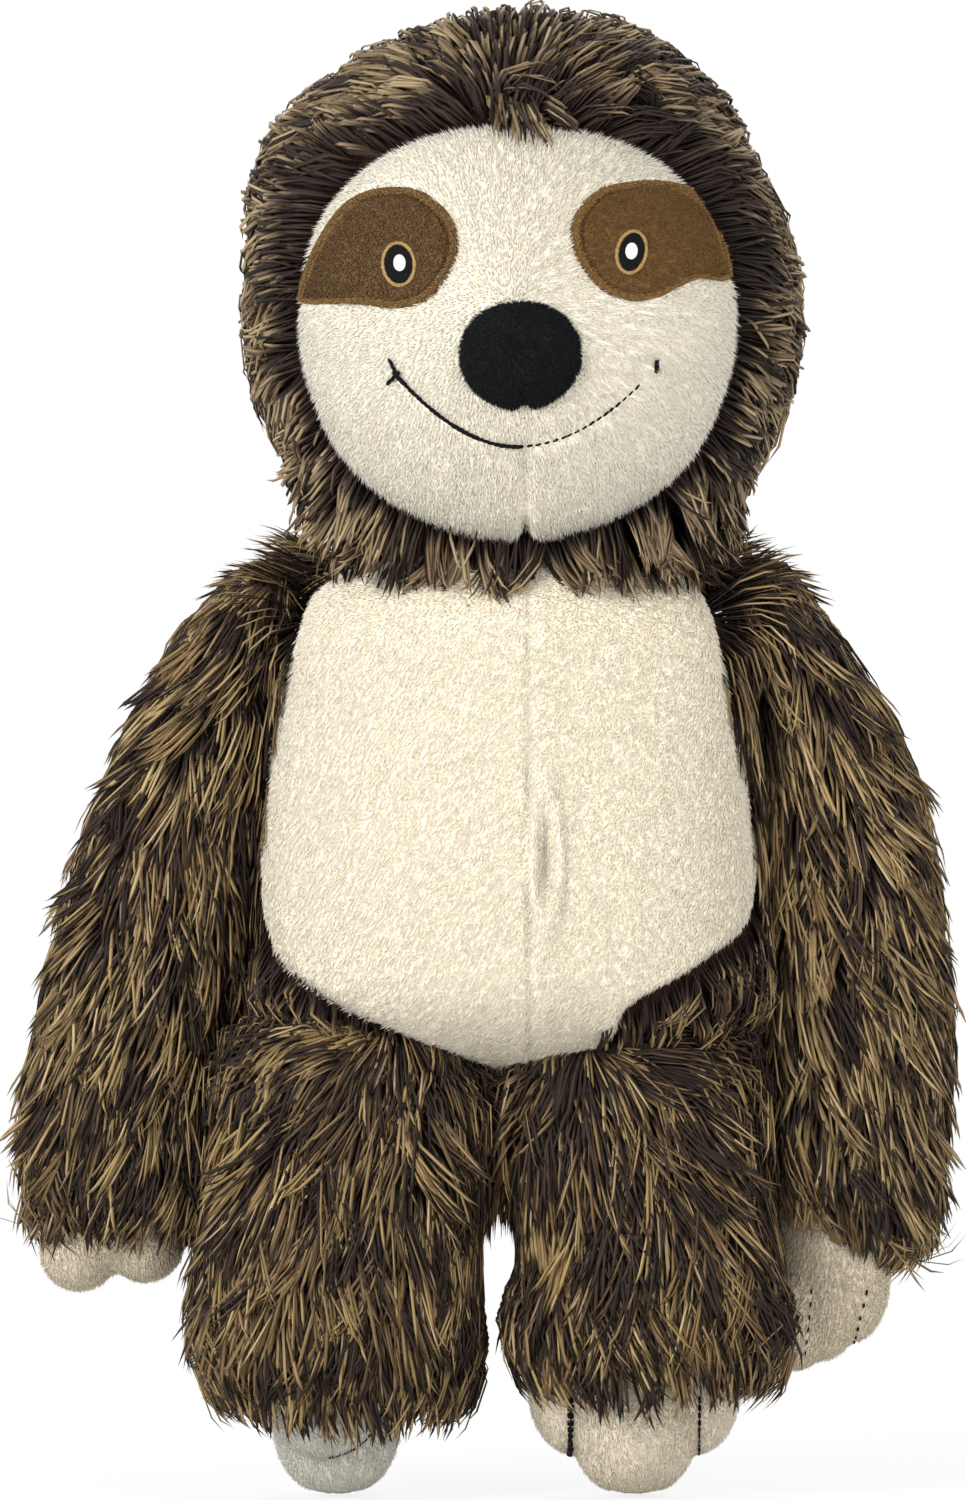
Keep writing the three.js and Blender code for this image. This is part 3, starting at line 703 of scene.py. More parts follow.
def long_pile_strands(name, deep, golden, pale, dark_share):
    """Two-tone pile: dark roots, and tips that are tan on most strands and stay dark on some."""
    material, net, shader = cloth(name, roughness=0.7, specular=0.25)
    u, v = strand_map(net)
    tone = noise_1d(net, u, 60.0)
    warmth = noise_1d(net, u + 0.37, 90.0)
    streak = noise_1d(net, u + 0.71, 420.0)
    tan = toned(net, warmth, deep, golden)
    tan = net.mix(streak.ramp(0.55, 0.8) * 0.6, tan, linear(pale))
    tan = net.mix(streak.ramp(0.45, 0.25) * 0.6, tan, linear(DULL_TAN))
    dark = toned(net, streak, *ROOT_COLOURS)
    tip = v.ramp(0.3, 0.62) * tone.ramp(dark_share - 0.035, dark_share + 0.035)
    net.feed(shader, "Base Color", net.mix(tip, dark, tan))
    return material


def loose_hair():
    material, net, shader = cloth("loose dark hair", roughness=0.6, specular=0.3)
    tone = noise_1d(net, strand_map(net)[0], 90.0)
    net.feed(shader, "Base Color", toned(net, tone, "241814", "4a3526"))
    return material


def pile_backing():
    material, net, shader = cloth("long pile backing", roughness=1.0, specular=0.1)
    mottle = noise_3d(net, 0.6, 3.0)
    net.feed(shader, "Base Color", net.mix(mottle, linear("1d1410"), linear("34251d")))
    bumped(net, shader, mottle, 0.8)
    return material


def cream_strands(name, pale, deep):
    material, net, shader = cloth(name, roughness=0.95, sheen=0.1, specular=0.1)
    u, v = strand_map(net)
    tone = noise_1d(net, u, 240.0)
    colour = toned(net, tone, deep, pale)
    net.feed(shader, "Base Color", net.mix(v.ramp(0.0, 0.8), linear(deep), colour))
    return material


def cream_cloth(name, pale, deep):
    """The knitted ground under a cream nap, with its rows of tufts."""
    material, net, shader = cloth(name, roughness=0.95, sheen=0.1, specular=0.1)
    tufts = noise_3d(net, 1.1, 3.0, (0.6, 1, 1.6))
    patches = noise_3d(net, 0.06, 2.0)
    mottled = net.mix(tufts.ramp(0.35, 0.65), linear(deep), linear(pale))
    net.feed(shader, "Base Color", net.mix(patches * 0.35, mottled, linear(deep)))
    bumped(net, shader, tufts, 0.2)
    return material


def velboa(name, dark, light, ground=False):
    material, net, shader = cloth(name, roughness=0.85, sheen=0.05, sheen_tint=light, specular=0.15)
    if ground:
        tone = noise_3d(net, 1.6, 3.0)
        bumped(net, shader, tone, 0.35)
    else:
        tone = noise_1d(net, strand_map(net)[0], 240.0)
    net.feed(shader, "Base Color", toned(net, tone, dark, light))
    return material


def thread(name, dark, light, roughness=0.45, specular=0.4):
    """Satin thread: fine filaments along the object's width."""
    material, net, shader = cloth(name, roughness=roughness, specular=specular)
    strands = noise_3d(net, 4.0, 2.0, (0.5, 1, 2.2))
    net.feed(shader, "Base Color", toned(net, strands, dark, light))
    bumped(net, shader, strands, 0.15)
    return material


def fibre_filling():
    material, net, shader = cloth("fibre filling", roughness=1.0, specular=0.1)
    tufts = noise_3d(net, 0.25, 4.0)
    net.feed(shader, "Base Color", net.mix(tufts, linear("dcd9cf"), linear("f8f6f0")))
    bumped(net, shader, tufts, 2.0)
    return material


# Pile and stitches

BODY_PILE = {"Lock": 3.6 * MM, "Clumping": 0.68, "Width": 0.88 * MM, "Bluntness": 1.7, "Stray": 0.08, "Mixing": 0.006}
HOOD_PILE = {"Lock": 4.2 * MM, "Clumping": 0.62, "Width": 1.0 * MM, "Bluntness": 1.7, "Stray": 0.08, "Mixing": 0.007}
LOOSE_HAIR_CURL = 330.0
LOOSE_HAIR = {"Lock": 1.5 * MM, "Clumping": 0.0, "Width": 0.4 * MM, "Bluntness": 1.0, "Stray": 0.5, "Mixing": 0.5}


def node_group(name, *numbers):
    """A Geometry Nodes tree with a geometry in and out, and named inputs: numbers, a seed and a material. Returns
    its net and the inputs' wires."""
    tree = bpy.data.node_groups.new(name, "GeometryNodeTree")
    tree.interface.new_socket(name="Geometry", in_out="OUTPUT", socket_type="NodeSocketGeometry")
    tree.interface.new_socket(name="Geometry", in_out="INPUT", socket_type="NodeSocketGeometry")
    for label in numbers:
        tree.interface.new_socket(name=label, in_out="INPUT", socket_type="NodeSocketFloat")
    tree.interface.new_socket(name="Seed", in_out="INPUT", socket_type="NodeSocketInt")
    tree.interface.new_socket(name="Material", in_out="INPUT", socket_type="NodeSocketMaterial")
    net = Net(tree)
    return net, net.node("NodeGroupInput")


def end_group(net, geometry, material):
    realized = net.node("GeometryNodeRealizeInstances", None, {"Geometry": geometry})[0]
    dressed = net.node("GeometryNodeSetMaterial", None, {"Geometry": realized, "Material": material})[0]
    net.node("NodeGroupOutput", None, {"Geometry": dressed})
    return net.tree


def held(net, name, kind="FLOAT"):
    return net.node("GeometryNodeInputNamedAttribute", {"data_type": kind}, {"Name": name})[0]


def held_vector(net, name):
    return held(net, name, "FLOAT_VECTOR")


def hold(net, geometry, name, value, kind=None, domain="POINT"):
    """Stores a wire's value on the geometry, as a vector if it is one."""
    settings = {"data_type": kind or ("FLOAT_VECTOR" if value.is_vector() else "FLOAT"), "domain": domain}
    inputs = {"Geometry": geometry, "Name": name, "Value": value}
    return net.node("GeometryNodeStoreNamedAttribute", settings, inputs)[0]


def chance(net, low, high, seed):
    kind = "FLOAT_VECTOR" if isinstance(low, tuple) else "FLOAT"
    return net.node("FunctionNodeRandomValue", {"data_type": kind}, {"Min": low, "Max": high, "Seed": seed})[0]


def sown(net, given):
    """Roots scattered over the cloth, closer together where its cover is higher."""
    return net.node(
        "GeometryNodeDistributePointsOnFaces",
        {"distribute_method": "RANDOM"},
        {"Mesh": given["Geometry"], "Density": held(net, "cover") * given["Density"], "Seed": given["Seed"]},
    )


def planted(net, inputs):
    """Real copies of a shape on points."""
    made = net.node("GeometryNodeInstanceOnPoints", None, inputs)[0]
    return net.node("GeometryNodeRealizeInstances", None, {"Geometry": made})[0]


def strand_shape(net, segments):
    """One strand one unit long along Z: a point for a tip, and its run and place across held on it."""
    shape = net.node(
        "GeometryNodeMeshCone",
        {"fill_type": "NGON"},
        {"Vertices": 3, "Side Segments": segments, "Fill Segments": 1, "Radius Bottom": 1.0, "Depth": 1.0},
    )["Mesh"]
    parts = separated(net, net.node("GeometryNodeInputPosition")[0])
    # The strand's width at each height, with a little over so that the tip's isn't nought
    share = 1.0001 - parts[2]
    shape = hold(net, shape, "aside", parts[0] / share)
    shape = hold(net, shape, "above", parts[1] / share)
    return hold(net, shape, "run", parts[2])


def store_strand_map(net, geometry, run):
    """Writes OFBake: each strand takes a narrow strip of the map, chosen by its tone, with v from root to tip."""
    across = 0.5 + held(net, "aside") * 0.4 + held(net, "above") * 0.25
    u = held(net, "tone") * (1 - STRAND_STRIP) + across * STRAND_STRIP
    uv = combined(net, u, run * held(net, "paleness"))
    return hold(net, geometry, "OFBake", uv, "FLOAT2", "CORNER")


def long_pile_tree(name, segments):
    """Strands that leave the cloth, lie over along its lay and keep together in locks."""
    numbers = ("Density", "Lock", "Clumping", "Width", "Thickness", "Bluntness", "Stray", "Mixing", "Droop")
    net, given = node_group(name, *numbers)
    scattered = sown(net, given)
    locks = net.node(
        "GeometryNodeDistributePointsOnFaces",
        {"distribute_method": "POISSON"},
        {"Mesh": given["Geometry"], "Distance Min": given["Lock"], "Density Max": 1e6, "Seed": given["Seed"]},
    )["Points"]
    place = net.node("GeometryNodeInputPosition")[0]
    nearest = net.node("GeometryNodeSampleNearest", None, {"Geometry": locks})[0]
    sample = {"Geometry": locks, "Value": place, "Index": nearest}
    lock_place = net.node("GeometryNodeSampleIndex", {"data_type": "FLOAT_VECTOR"}, sample)[0]
    shared = net.node("ShaderNodeTexWhiteNoise", None, {"Vector": lock_place * LOCK_NOISE_SCALE})
    own_tone = chance(net, -1.0, 1.0, 11) * given["Mixing"]
    kept = {
        "up": scattered["Normal"],
        "root": place,
        "lock": lock_place,
        "shared": shared["Color"] - 0.5,
        "tone": (shared["Value"] + own_tone).math("FRACT"),
        "own": chance(net, (-1, -1, -1), (1, 1, 1), 12),
        "length": held(net, "pile") * chance(net, 0.75, 1.1, 13),
        "thick": given["Width"] * chance(net, 0.6, 1.15, 14) * 0.5,
        "rise": held(net, "lift") * chance(net, 0.6, 1.25, 15),
    }
    points = scattered["Points"]
    for label, value in kept.items():
        points = hold(net, points, label, value)
    wisps = planted(net, {"Points": points, "Instance": strand_shape(net, segments)})

    # The rings of a strand stand closer together towards its blunt tip
    run = 1 - (1 - held(net, "run")) ** given["Bluntness"]
    up, root, shared, own = (held_vector(net, label) for label in ("up", "root", "shared", "own"))
    stray = shared * held(net, "unruly") + own * given["Stray"]
    stray = stray - up * (stray.math("DOT_PRODUCT", up) * 0.8)
    lay = (held_vector(net, "lay") + stray).math("NORMALIZE")
    side = up.math("CROSS_PRODUCT", lay).math("NORMALIZE")
    length = held(net, "length")
    # The pile follows the cloth where the cloth curves away under it, and curls sideways on an arc
    reach = length * run * (0.6 + run * 0.35)
    bend = held(net, "bend") + 1.0
    turned = reach * bend
    by_lock = separated(net, shared + own * 0.2)[0]
    swirl = held(net, "swirl") + by_lock * held(net, "curl") + 0.01
    swung = reach * swirl
    lean = turned.math("SINE") / bend * (swung.math("SINE") / swung)
    aside = reach * (1 - swung.math("COSINE")) / swung
    rise = length * held(net, "rise") * (run - run * run * 0.6)
    rise = rise - (1 - turned.math("COSINE")) / bend
    fall = length * given["Droop"] * run * run
    closing = (held_vector(net, "lock") - root) * given["Clumping"] * run
    spine = root + lay * lean + up * rise + side * aside + combined(net, z=-1.0) * fall + closing
    width = held(net, "thick") * run.ramp(0.0, 0.6, 0.4, 1.0)
    moved = spine + side * (held(net, "aside") * width) + up * (held(net, "above") * width * given["Thickness"])
    wisps = net.node("GeometryNodeSetPosition", None, {"Geometry": wisps, "Position": moved})[0]
    wisps = net.node("GeometryNodeSetShadeSmooth", None, {"Geometry": wisps})[0]
    return end_group(net, store_strand_map(net, wisps, run), given["Material"])


def short_nap_tree():
    """Short straight fibres, each a spike with three sides, that lean along the cloth's lay."""
    net, given = node_group("short nap", "Density", "Width", "Wild")
    scattered = sown(net, given)
    points = hold(net, scattered["Points"], "tone", chance(net, 0.0, 1.0, 21))
    own = chance(net, (-1, -1, -1), (1, 1, 1), 22)
    direction = scattered["Normal"] * held(net, "lift") + held_vector(net, "lay") + own * given["Wild"]
    points = hold(net, points, "lean", direction)
    turn = net.node("FunctionNodeAlignRotationToVector", {"axis": "Z"}, {"Vector": held_vector(net, "lean")})[0]
    width = given["Width"] * chance(net, 0.35, 0.65, 23)
    size = combined(net, width, width, held(net, "pile") * chance(net, 0.7, 1.25, 24))
    fibres = planted(net, {"Points": points, "Instance": strand_shape(net, 1), "Rotation": turn, "Scale": size})
    return end_group(net, store_strand_map(net, fibres, held(net, "run")), given["Material"])


def stitch_tree():
    """Threads laid one after another along a line, each a rounded bead that lies at an angle to it."""
    net, given = node_group("stitches", "Pitch", "Length", "Width", "Turn")
    line = net.node("GeometryNodeMeshToCurve", None, {"Mesh": given["Geometry"]})[0]
    walked = net.node("GeometryNodeCurveToPoints", {"mode": "LENGTH"}, {"Curve": line, "Length": given["Pitch"]})
    bead = net.node("GeometryNodeMeshUVSphere", None, {"Segments": 6, "Rings": 5, "Radius": 0.5})["Mesh"]
    facing = net.node(
        "FunctionNodeAxesToRotation",
        {"primary_axis": "X", "secondary_axis": "Z"},
        {"Primary Axis": walked["Tangent"], "Secondary Axis": held_vector(net, "up")},
    )[0]
    slant = net.node("FunctionNodeEulerToRotation", None, {0: combined(net, z=given["Turn"])})[0]
    facing = net.node("FunctionNodeRotateRotation", {"rotation_space": "LOCAL"}, {0: facing, 1: slant})[0]
    long = given["Length"] * chance(net, 0.85, 1.15, 31)
    wide = given["Width"] * chance(net, 0.85, 1.15, 32)
    size = combined(net, long, wide, wide * 0.8)
    threads = planted(net, {"Points": walked["Points"], "Instance": bead, "Rotation": facing, "Scale": size})
    threads = net.node("GeometryNodeSetShadeSmooth", None, {"Geometry": threads})[0]
    return end_group(net, threads, given["Material"])


def grow(name, ground, tree, values):
    """Runs a tree on an object's mesh and gives the result as an object of its own."""
    grown = ground.modifiers.new(name, "NODES")
    grown.node_group = tree
    for item in tree.interface.items_tree:
        if item.in_out == "INPUT" and item.name in values:
            grown[item.identifier] = values[item.name]
    depsgraph = bpy.context.evaluated_depsgraph_get()
    mesh = bpy.data.meshes.new_from_object(ground.evaluated_get(depsgraph), depsgraph=depsgraph)
    ground.modifiers.remove(grown)
    mesh.name = name
    for label in [a.name for a in mesh.attributes if a.name != "OFBake"]:
        spare = mesh.attributes.get(label)
        if spare and not spare.is_internal and not spare.is_required:
            mesh.attributes.remove(spare)
    mesh.polygons.foreach_set("material_index", np.zeros(len(mesh.polygons), np.int32))
    return linked(name, mesh)


def strokes_on(lines, surface, lift, turn=0.0, centre=(0, 0)):
    """A wire object over lines of places across and up, laid on a surface from the front, or from the side that
    the front is turned to about a centre."""
    places, edges, ups = [], [], []
    middle = Vector((*centre, 0))
    side = Vector((math.cos(turn), math.sin(turn), 0))
    facing = Vector((math.sin(turn), -math.cos(turn), 0))
    for line in lines:
        start = len(places)
        for across, z in line:
            origin = middle + side * across + facing * RAY_START + Vector((0, 0, z))
            hit, normal, _, _ = surface.ray_cast(origin, -facing)
            if hit is None:
                continue
            places.append(hit + normal * lift)
            ups.append(normal)
        edges += [(i, i + 1) for i in range(start, len(places) - 1)]
    mesh = bpy.data.meshes.new("stitch line")
    mesh.from_pydata([p * MM for p in places], edges, [])
    made = linked("stitch line", mesh)
    keep(made, "up", ups)
    return made


# Dressing


def dress(made, material, body, nodes=()):
    """Gives a piece its finish, and tells the frame its body and the solids that it stands for."""
    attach(paint(made, material), body)
    if nodes:
        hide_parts(*nodes)
    return made


def paint(made, material):
    made.data.materials.clear()
    made.data.materials.append(material)
    return made


def furnish(skin, cover, lay, pile, lift, unruly=0.4, curl=60, swirl=0, free=0, paleness=1):
    """Tells the trees how the cloth's pile stands: where it grows, which way it lies, how long and how steep.
    Where free is 1, it goes the way that lay says, and elsewhere it keeps to the cloth. Where paleness is low, its
    tips stay dark. curl and swirl are sideways turns in radians a metre: the first differs from lock to lock."""
    places, normals = places_of(skin)
    flat = np.ones(len(places))
    kept = 1 - free * flat
    way = unit(tangent(lay, normals) * kept[:, None] + unit(lay) * (free * flat)[:, None])
    keep(skin, "lay", way)
    mottle = np.array([noise.noise(Vector(place) / MOTTLE.width) for place in places])
    numbers = {
        "cover": cover,
        "paleness": np.clip(paleness * (1 + MOTTLE.share * mottle), 0, 1),
        "pile": pile * MM,
        "lift": lift,
        "unruly": unruly,
        "curl": curl,
        "swirl": swirl,
        "bend": bend_along(skin, places, normals, way) * kept / MM,
    }
    for name, values in numbers.items():
        keep(skin, name, values * flat)


def bend_along(skin, places, normals, way, step=9.0):
    """One over the radius in which the cloth falls away along each vertex's lay."""
    tree = surface_of(skin)
    ahead = np.array([tree.find_nearest(Vector(place))[0] for place in places + way * step]) - places
    drop = np.maximum(-np.sum(ahead * normals, axis=1), 0)
    forward = np.sum(ahead * way, axis=1)
    return np.minimum(2 * drop / np.maximum(drop**2 + forward**2, 1), TIGHTEST_BEND)


def fur(name, skin, body, seed, density=FUR.density, droop=0.06):
    """Long pile on a skin, as one piece."""
    finish = finishes.hood_fur if body == "head" else finishes.leg_fur if "leg" in body else finishes.fur
    values = {
        "Density": density / MM**2,
        "Thickness": FUR.thickness,
        "Droop": droop,
        "Seed": seed,
        "Material": finish,
        **(HOOD_PILE if body == "head" else BODY_PILE),
    }
    return dress(grow(name, skin, trees.long_pile, values), finish, body)


def hairs(name, skin, body, seed, density):
    """A few thin dark hairs that curl loose from the pile."""
    finish = finishes.loose_hair
    values = {"Density": density / MM**2, "Thickness": 1.0, "Droop": 0.1, "Seed": seed, "Material": finish}
    return dress(grow(name, skin, trees.loose_hairs, values | LOOSE_HAIR), finish, body)


def nap(name, skin, body, material, seed, density, width, wild=0.25):
    """Short pile on a skin, as one piece."""
    values = {"Density": density / MM**2, "Width": width * MM, "Wild": wild, "Seed": seed, "Material": material}
    return dress(grow(name, skin, trees.short_nap, values), material, body)


def stitched(name, line, body, slot, node, pitch, length, width, turn_degrees=0):
    """A row of satin stitches along a line, which they take the place of. Their finish has their slot's name."""
    material = getattr(finishes, slot)
    values = {
        "Pitch": pitch * MM,
        "Length": length * MM,
        "Width": width * MM,
        "Turn": math.radians(turn_degrees),
        "Seed": 1,
        "Material": material,
    }
    made = grow(name, line, trees.stitches, values)
    bpy.data.objects.remove(line)
    return dress(made, material, body, [node])


# The head


def outward(places):
    """Away from the middle of the face, as seen from the front."""
    away = places - np.array([FACE.x, 0, FACE.z])
    away[:, 1] = 0
    return unit(away)


def build_hood():
    low, high = HOOD.rim, HOOD.z + HOOD.half_height
    z = evenly(low, high, count=60, profile=lambda z: hood_section(z)[1])
    middle, a, b = hood_section(z)
    rings = super_ring(middle, HEAD.y * np.ones_like(z), z, a, b, 2, HOOD.around)
    rim_middle, rim_a, rim_b = hood_section(np.array([low]))
    rim = super_ring(rim_middle, np.array([HEAD.y]), np.array([low]), rim_a, rim_b, 2, HOOD.around)
    crown_x = hood_section(np.array([high]))[0][0]
    poles = np.array([HEAD.x, HEAD.y, low]), np.array([crown_x, HEAD.y, high])
    skin = stack("head_hood_cloth", np.concatenate([rim, rings]), *poles)
    places, _ = places_of(skin)
    reach = face_reach(places[:, 0], places[:, 2])
    front = places[:, 1] < HEAD.y - 1
    # A socket behind the face takes it, so that it sits in the hood and not on it
    socket = face_front(places[:, 0], places[:, 2]) + SOCKET_GAP
    share = (1 - smooth_step(0.9, 0.97, reach)) * front
    places[:, 1] += np.maximum(socket - places[:, 1], 0) * share
    move_to(skin, places)
    dress(skin, finishes.backing, "head", ["head_fur_hood"])
    hood_fur(skin, front, reach)
    curl_fur(skin)


def hood_fur(skin, front, reach):
    """Lays the hood's pile away from the face, parted over the forehead and hanging under the chin."""
    places, _ = places_of(skin)
    up = (places[:, 2] - HOOD.z) / HOOD.half_height
    rear = smooth_step(-6, 38, places[:, 1])
    away = outward(places)
    radial = away * np.array([1, 0, 0.85]) + np.array([0, 0.3, -0.3])
    falling = np.array([0, 0.1, -1.0]) + away * np.array([0.5, 0, 0])
    lay = swayed(radial, falling, rear)
    # The chin's pile hangs free over the belly, and the jowls' pile hangs with it
    hanging = front * smooth_step(-0.45, -0.8, up)
    lay = swayed(lay, away * np.array([0.55, 0, 0]) + np.array([0, -0.3, -1.0]), hanging)
    # Over the forehead the first rows part from a place a little right of the middle
    parted = front * smooth_step(1.4, 1.05, reach) * smooth_step(0.35, 0.6, up)
    flat = np.ones(len(places))
    apart = np.stack([np.tanh((places[:, 0] - PARTING_X) / 14), 0 * flat, 0.55 * flat], axis=1)
    lay = swayed(lay, apart, parted)
    cover = np.where(~front | (reach > 0.97 - 0.05 * hanging), 1.0, 0.0)
    cover[places[:, 2] < HOOD.rim + 0.5] = 0
    near_face = front * smooth_step(1.3, 1.0, reach) * (1 - hanging)
    jowl = smooth_step(-0.1, -0.5, up)
    high_right = smooth_step(HOOD_TOP_X, HOOD_SHORT_X, places[:, 0]) * smooth_step(0.45, 0.85, up)
    furnish(
        skin,
        cover,
        lay,
        pile=FUR.length * (1.06 - 0.15 * near_face - 0.22 * jowl - 0.12 * hanging - 0.2 * high_right),
        lift=0.78 + 0.1 * smooth_step(0.3, 0.8, up) - 0.2 * hanging,
        unruly=0.5 + 0.15 * parted + 0.25 * rear,
        curl=60 + 60 * np.maximum(hanging, rear),
        free=hanging,
        # A dark edge runs over the top of the face
        paleness=1 - 0.4 * front * smooth_step(1.12, 1.02, reach) * smooth_step(-0.2, 0.3, up),
    )
    is_front = places[:, 1] < HEAD.y - 2
    for name, half, seed, density in (("head_front_fur", is_front, 1, 1.1), ("head_back_fur", ~is_front, 2, 0.62)):
        keep(skin, "cover", cover * half)
        fur(name, skin, "head", seed, density)


def curl_fur(skin):
    """Two tufts over the forehead that turn over in a curl, and some that come down on the face."""
    places, _ = places_of(skin)
    cover, swirl, pile = (np.zeros(len(places)) for _ in range(3))
    lay = np.ones((len(places), 3))
    for x, z, radius, way, turn, length in TUFTS:
        near = (np.hypot(places[:, 0] - x, places[:, 2] - z) < radius) & (places[:, 1] < HEAD.y)
        cover[near] = 1
        swirl[near] = turn
        pile[near] = length
        lay[near] = np.array([math.cos(math.radians(way)), -0.3, math.sin(math.radians(way))])
    furnish(skin, cover, lay, pile, lift=1.2, unruly=0.25, curl=30, swirl=swirl)
    fur("head_curl_fur", skin, "head", seed=6, density=3.0)


def face_shell(around=160, rings=48):
    """The face's skin: a front that bulges from its seam, and an edge tucked in behind the seam."""
    turn = full_turn(around)
    # More points near the dart under the nose
    turn = turn + 0.45 * np.sin(turn + math.pi / 2) * -1
    rho = np.sin(np.linspace(0, math.pi / 2, rings + 1)[1:])
    power = 2 / np.where(np.sin(turn) > 0, FOREHEAD_SQUARENESS, 2)
    up = rho[:, None] * signed_power(np.sin(turn), power)
    half = (FACE.half_width - NAP_DEPTH) * along(FACE_WIDTH_SHARES, (up + 1) / 2)
    x = FACE.x + half * rho[:, None] * signed_power(np.cos(turn), power)
    z = FACE.z + (np.where(up > 0, FACE.forehead, FACE.chin) - NAP_DEPTH) * up
    shell = np.stack([x, face_front(x, z), z], axis=-1)
    seam = shell[-1:]
    centre = np.array([FACE.x, 0, FACE.z])
    tucked = []
    for inward, back in ((0.985, 2.5), (0.94, 5), (0.8, 7)):
        ring = centre + (seam - centre) * np.array([inward, 1, inward])
        ring[..., 1] = seam[..., 1] + back
        tucked.append(ring)
    shell = np.concatenate([shell, *tucked])
    apex = np.array([FACE.x, face_front(np.array([FACE.x]), np.array([FACE.z]))[0], FACE.z])
    face = stack("face_cloth", shell[::-1], np.array([FACE.x, FACE.y + 8, FACE.z]), apex)
    places, normals = places_of(face)
    if normals[np.argmin(places[:, 1]), 1] > 0:
        face.data.flip_normals()
    return face


def build_face():
    face = face_shell()
    places, normals = places_of(face)
    # The dart pulls in from under the nose to the chin, and most at the chin
    below = smooth_step(DART.top, DART.top - DART.fade, places[:, 2] - FACE.z)
    pinch = bell(places[:, 0] - (FACE.x + DART.across), DART.width) * below * (places[:, 1] < FACE.y + 1)
    chin = 1 + DART.more_at_chin * smooth_step(0.85, 1.0, face_reach(places[:, 0], places[:, 2]))
    places -= normals * (pinch * DART.depth * chin)[:, None]
    move_to(face, places)
    dress(face, finishes.face_ground, "head", ["face_panel"])

    # The nap leaves the dart, the patches, the nose and the mouth's stitches free
    places, _ = places_of(face)
    cover = np.where(places[:, 1] < FACE.y + 1, 1.0, 0.0) * (1 - 0.75 * (pinch > 0.6))
    for outline in (patch_outline("right"), patch_outline("left"), nose_outline(0.9)):
        cover[inside(outline, places) & (places[:, 1] < FACE.y)] = 0
    mouth = np.array(mouth_line(-1) + mouth_line(1, MOUTH_DASH_SHARES[0][0], MOUTH_DASH_SHARES[-1][1]))
    to_mouth = np.min(np.hypot(places[:, 0, None] - mouth[:, 0], places[:, 2, None] - mouth[:, 1]), axis=1)
    cover = cover * smooth_step(0.3, 1.2, to_mouth)
    lay = outward(places) * 0.9 + np.array([0, 0, -0.35])
    pile = 1.6 + 0.5 * smooth_step(0.9, 1.0, face_reach(places[:, 0], places[:, 2]))
    furnish(face, cover, lay, pile, lift=0.6)
    nap("face_nap", face, "head", finishes.face_nap, seed=5, density=4.5, width=0.36)
    return face


def patch_outline(side, margin=0.0):
    """The eye patch's seam as front-view places, rounded from its few corners."""
    patch = PATCH[side]
    away = -1 if side == "right" else 1
    corners = np.array(PATCH_OUTLINE_SHARES[side])
    count = len(corners)
    fine = []
    for k in range(count):
        four = [corners[(k + s) % count] for s in (-1, 0, 1, 2)]
        fine += [through(four, u) for u in np.linspace(0, 1, 8, endpoint=False)]
    fine = np.array(fine)
    across = away * (patch.inner + (patch.outer - patch.inner) * fine[:, 0])
    up = patch.bottom + (patch.top - patch.bottom) * fine[:, 1]
    middle = np.array([across.mean(), up.mean()])
    out = np.stack([across, up], axis=1) - middle
    out *= 1 + margin / np.linalg.norm(out, axis=1, keepdims=True)
    return np.stack(face_lean(*(middle + out).T), axis=1)


def nose_outline(share=1.0):
    """The nose as seen from the front: wide and round above, narrower below, with a notch at its lowest point."""
    turn = full_turn(96)
    wide = 1 - NOSE.narrowing * np.sin(turn) ** 2 * (np.sin(turn) < 0)
    across = NOSE.half_width * signed_power(np.cos(turn), NOSE_POWER) * wide
    up = NOSE.half_height * signed_power(np.sin(turn), NOSE_POWER)
    notch = bell(turn - 1.5 * math.pi - 0.03, 0.09) * NOSE.notch
    return np.stack(face_lean(NOSE.across + across * share, NOSE.up + (up + notch) * share), axis=1)


def inside(outline, places):
    """Which places lie within an outline, as seen from the front."""
    x, z = places[:, 0], places[:, 2]
    found = np.zeros(len(places), bool)
    for (x0, z0), (x1, z1) in zip(outline, np.roll(outline, -1, axis=0)):
        crossing = (z0 > z) != (z1 > z)
        with np.errstate(divide="ignore", invalid="ignore"):
            cut = x0 + (z - z0) / (z1 - z0) * (x1 - x0)
        found ^= crossing & (x < cut)
    return found


def applied(name, outline, surface, profile, rings=14, floor=-1.6):
    """A piece laid on a surface, in rings from its middle to its outline. profile gives its height over the
    surface at a share of the way out, and floor how far its edge goes in."""
    middle = outline.mean(axis=0)
    shares = np.linspace(1 / rings, 1, rings) ** 0.8
    layers = [(middle + (outline - middle) * share, profile(share)) for share in shares]
    layers.append((outline, floor))

    def laid(place, height):
        hit, normal, _, _ = surface.ray_cast(Vector((place[0], -RAY_START, place[1])), Vector((0, 1, 0)))
        if hit is None:
            hit, normal, _, _ = surface.find_nearest(Vector((place[0], FACE.y, place[1])))
        return np.array(hit + normal * height)

    shell = np.array([[laid(p, height) for p in layer] for layer, height in layers])
    made = stack(name, shell[::-1], laid(middle, floor), laid(middle, profile(0)))
    outward_first(made)
    return made


def outward_first(made):
    """Turns every face's normal outwards."""
    shape = bmesh.new()
    shape.from_mesh(made.data)
    bmesh.ops.recalc_face_normals(shape, faces=shape.faces)
    shape.to_mesh(made.data)
    shape.free()


def ellipse(centre, half_width, half_height, lean_degrees=0.0):
    """A leaning ellipse on the face, as front-view places."""
    turn = full_turn(48)
    lean = math.radians(lean_degrees)
    across, up = half_width * np.cos(turn), half_height * np.sin(turn)
    x, z = face_lean(
        centre[0] + across * math.cos(lean) - up * math.sin(lean),
        centre[1] + across * math.sin(lean) + up * math.cos(lean),
    )
    return np.stack([x, z], axis=1)


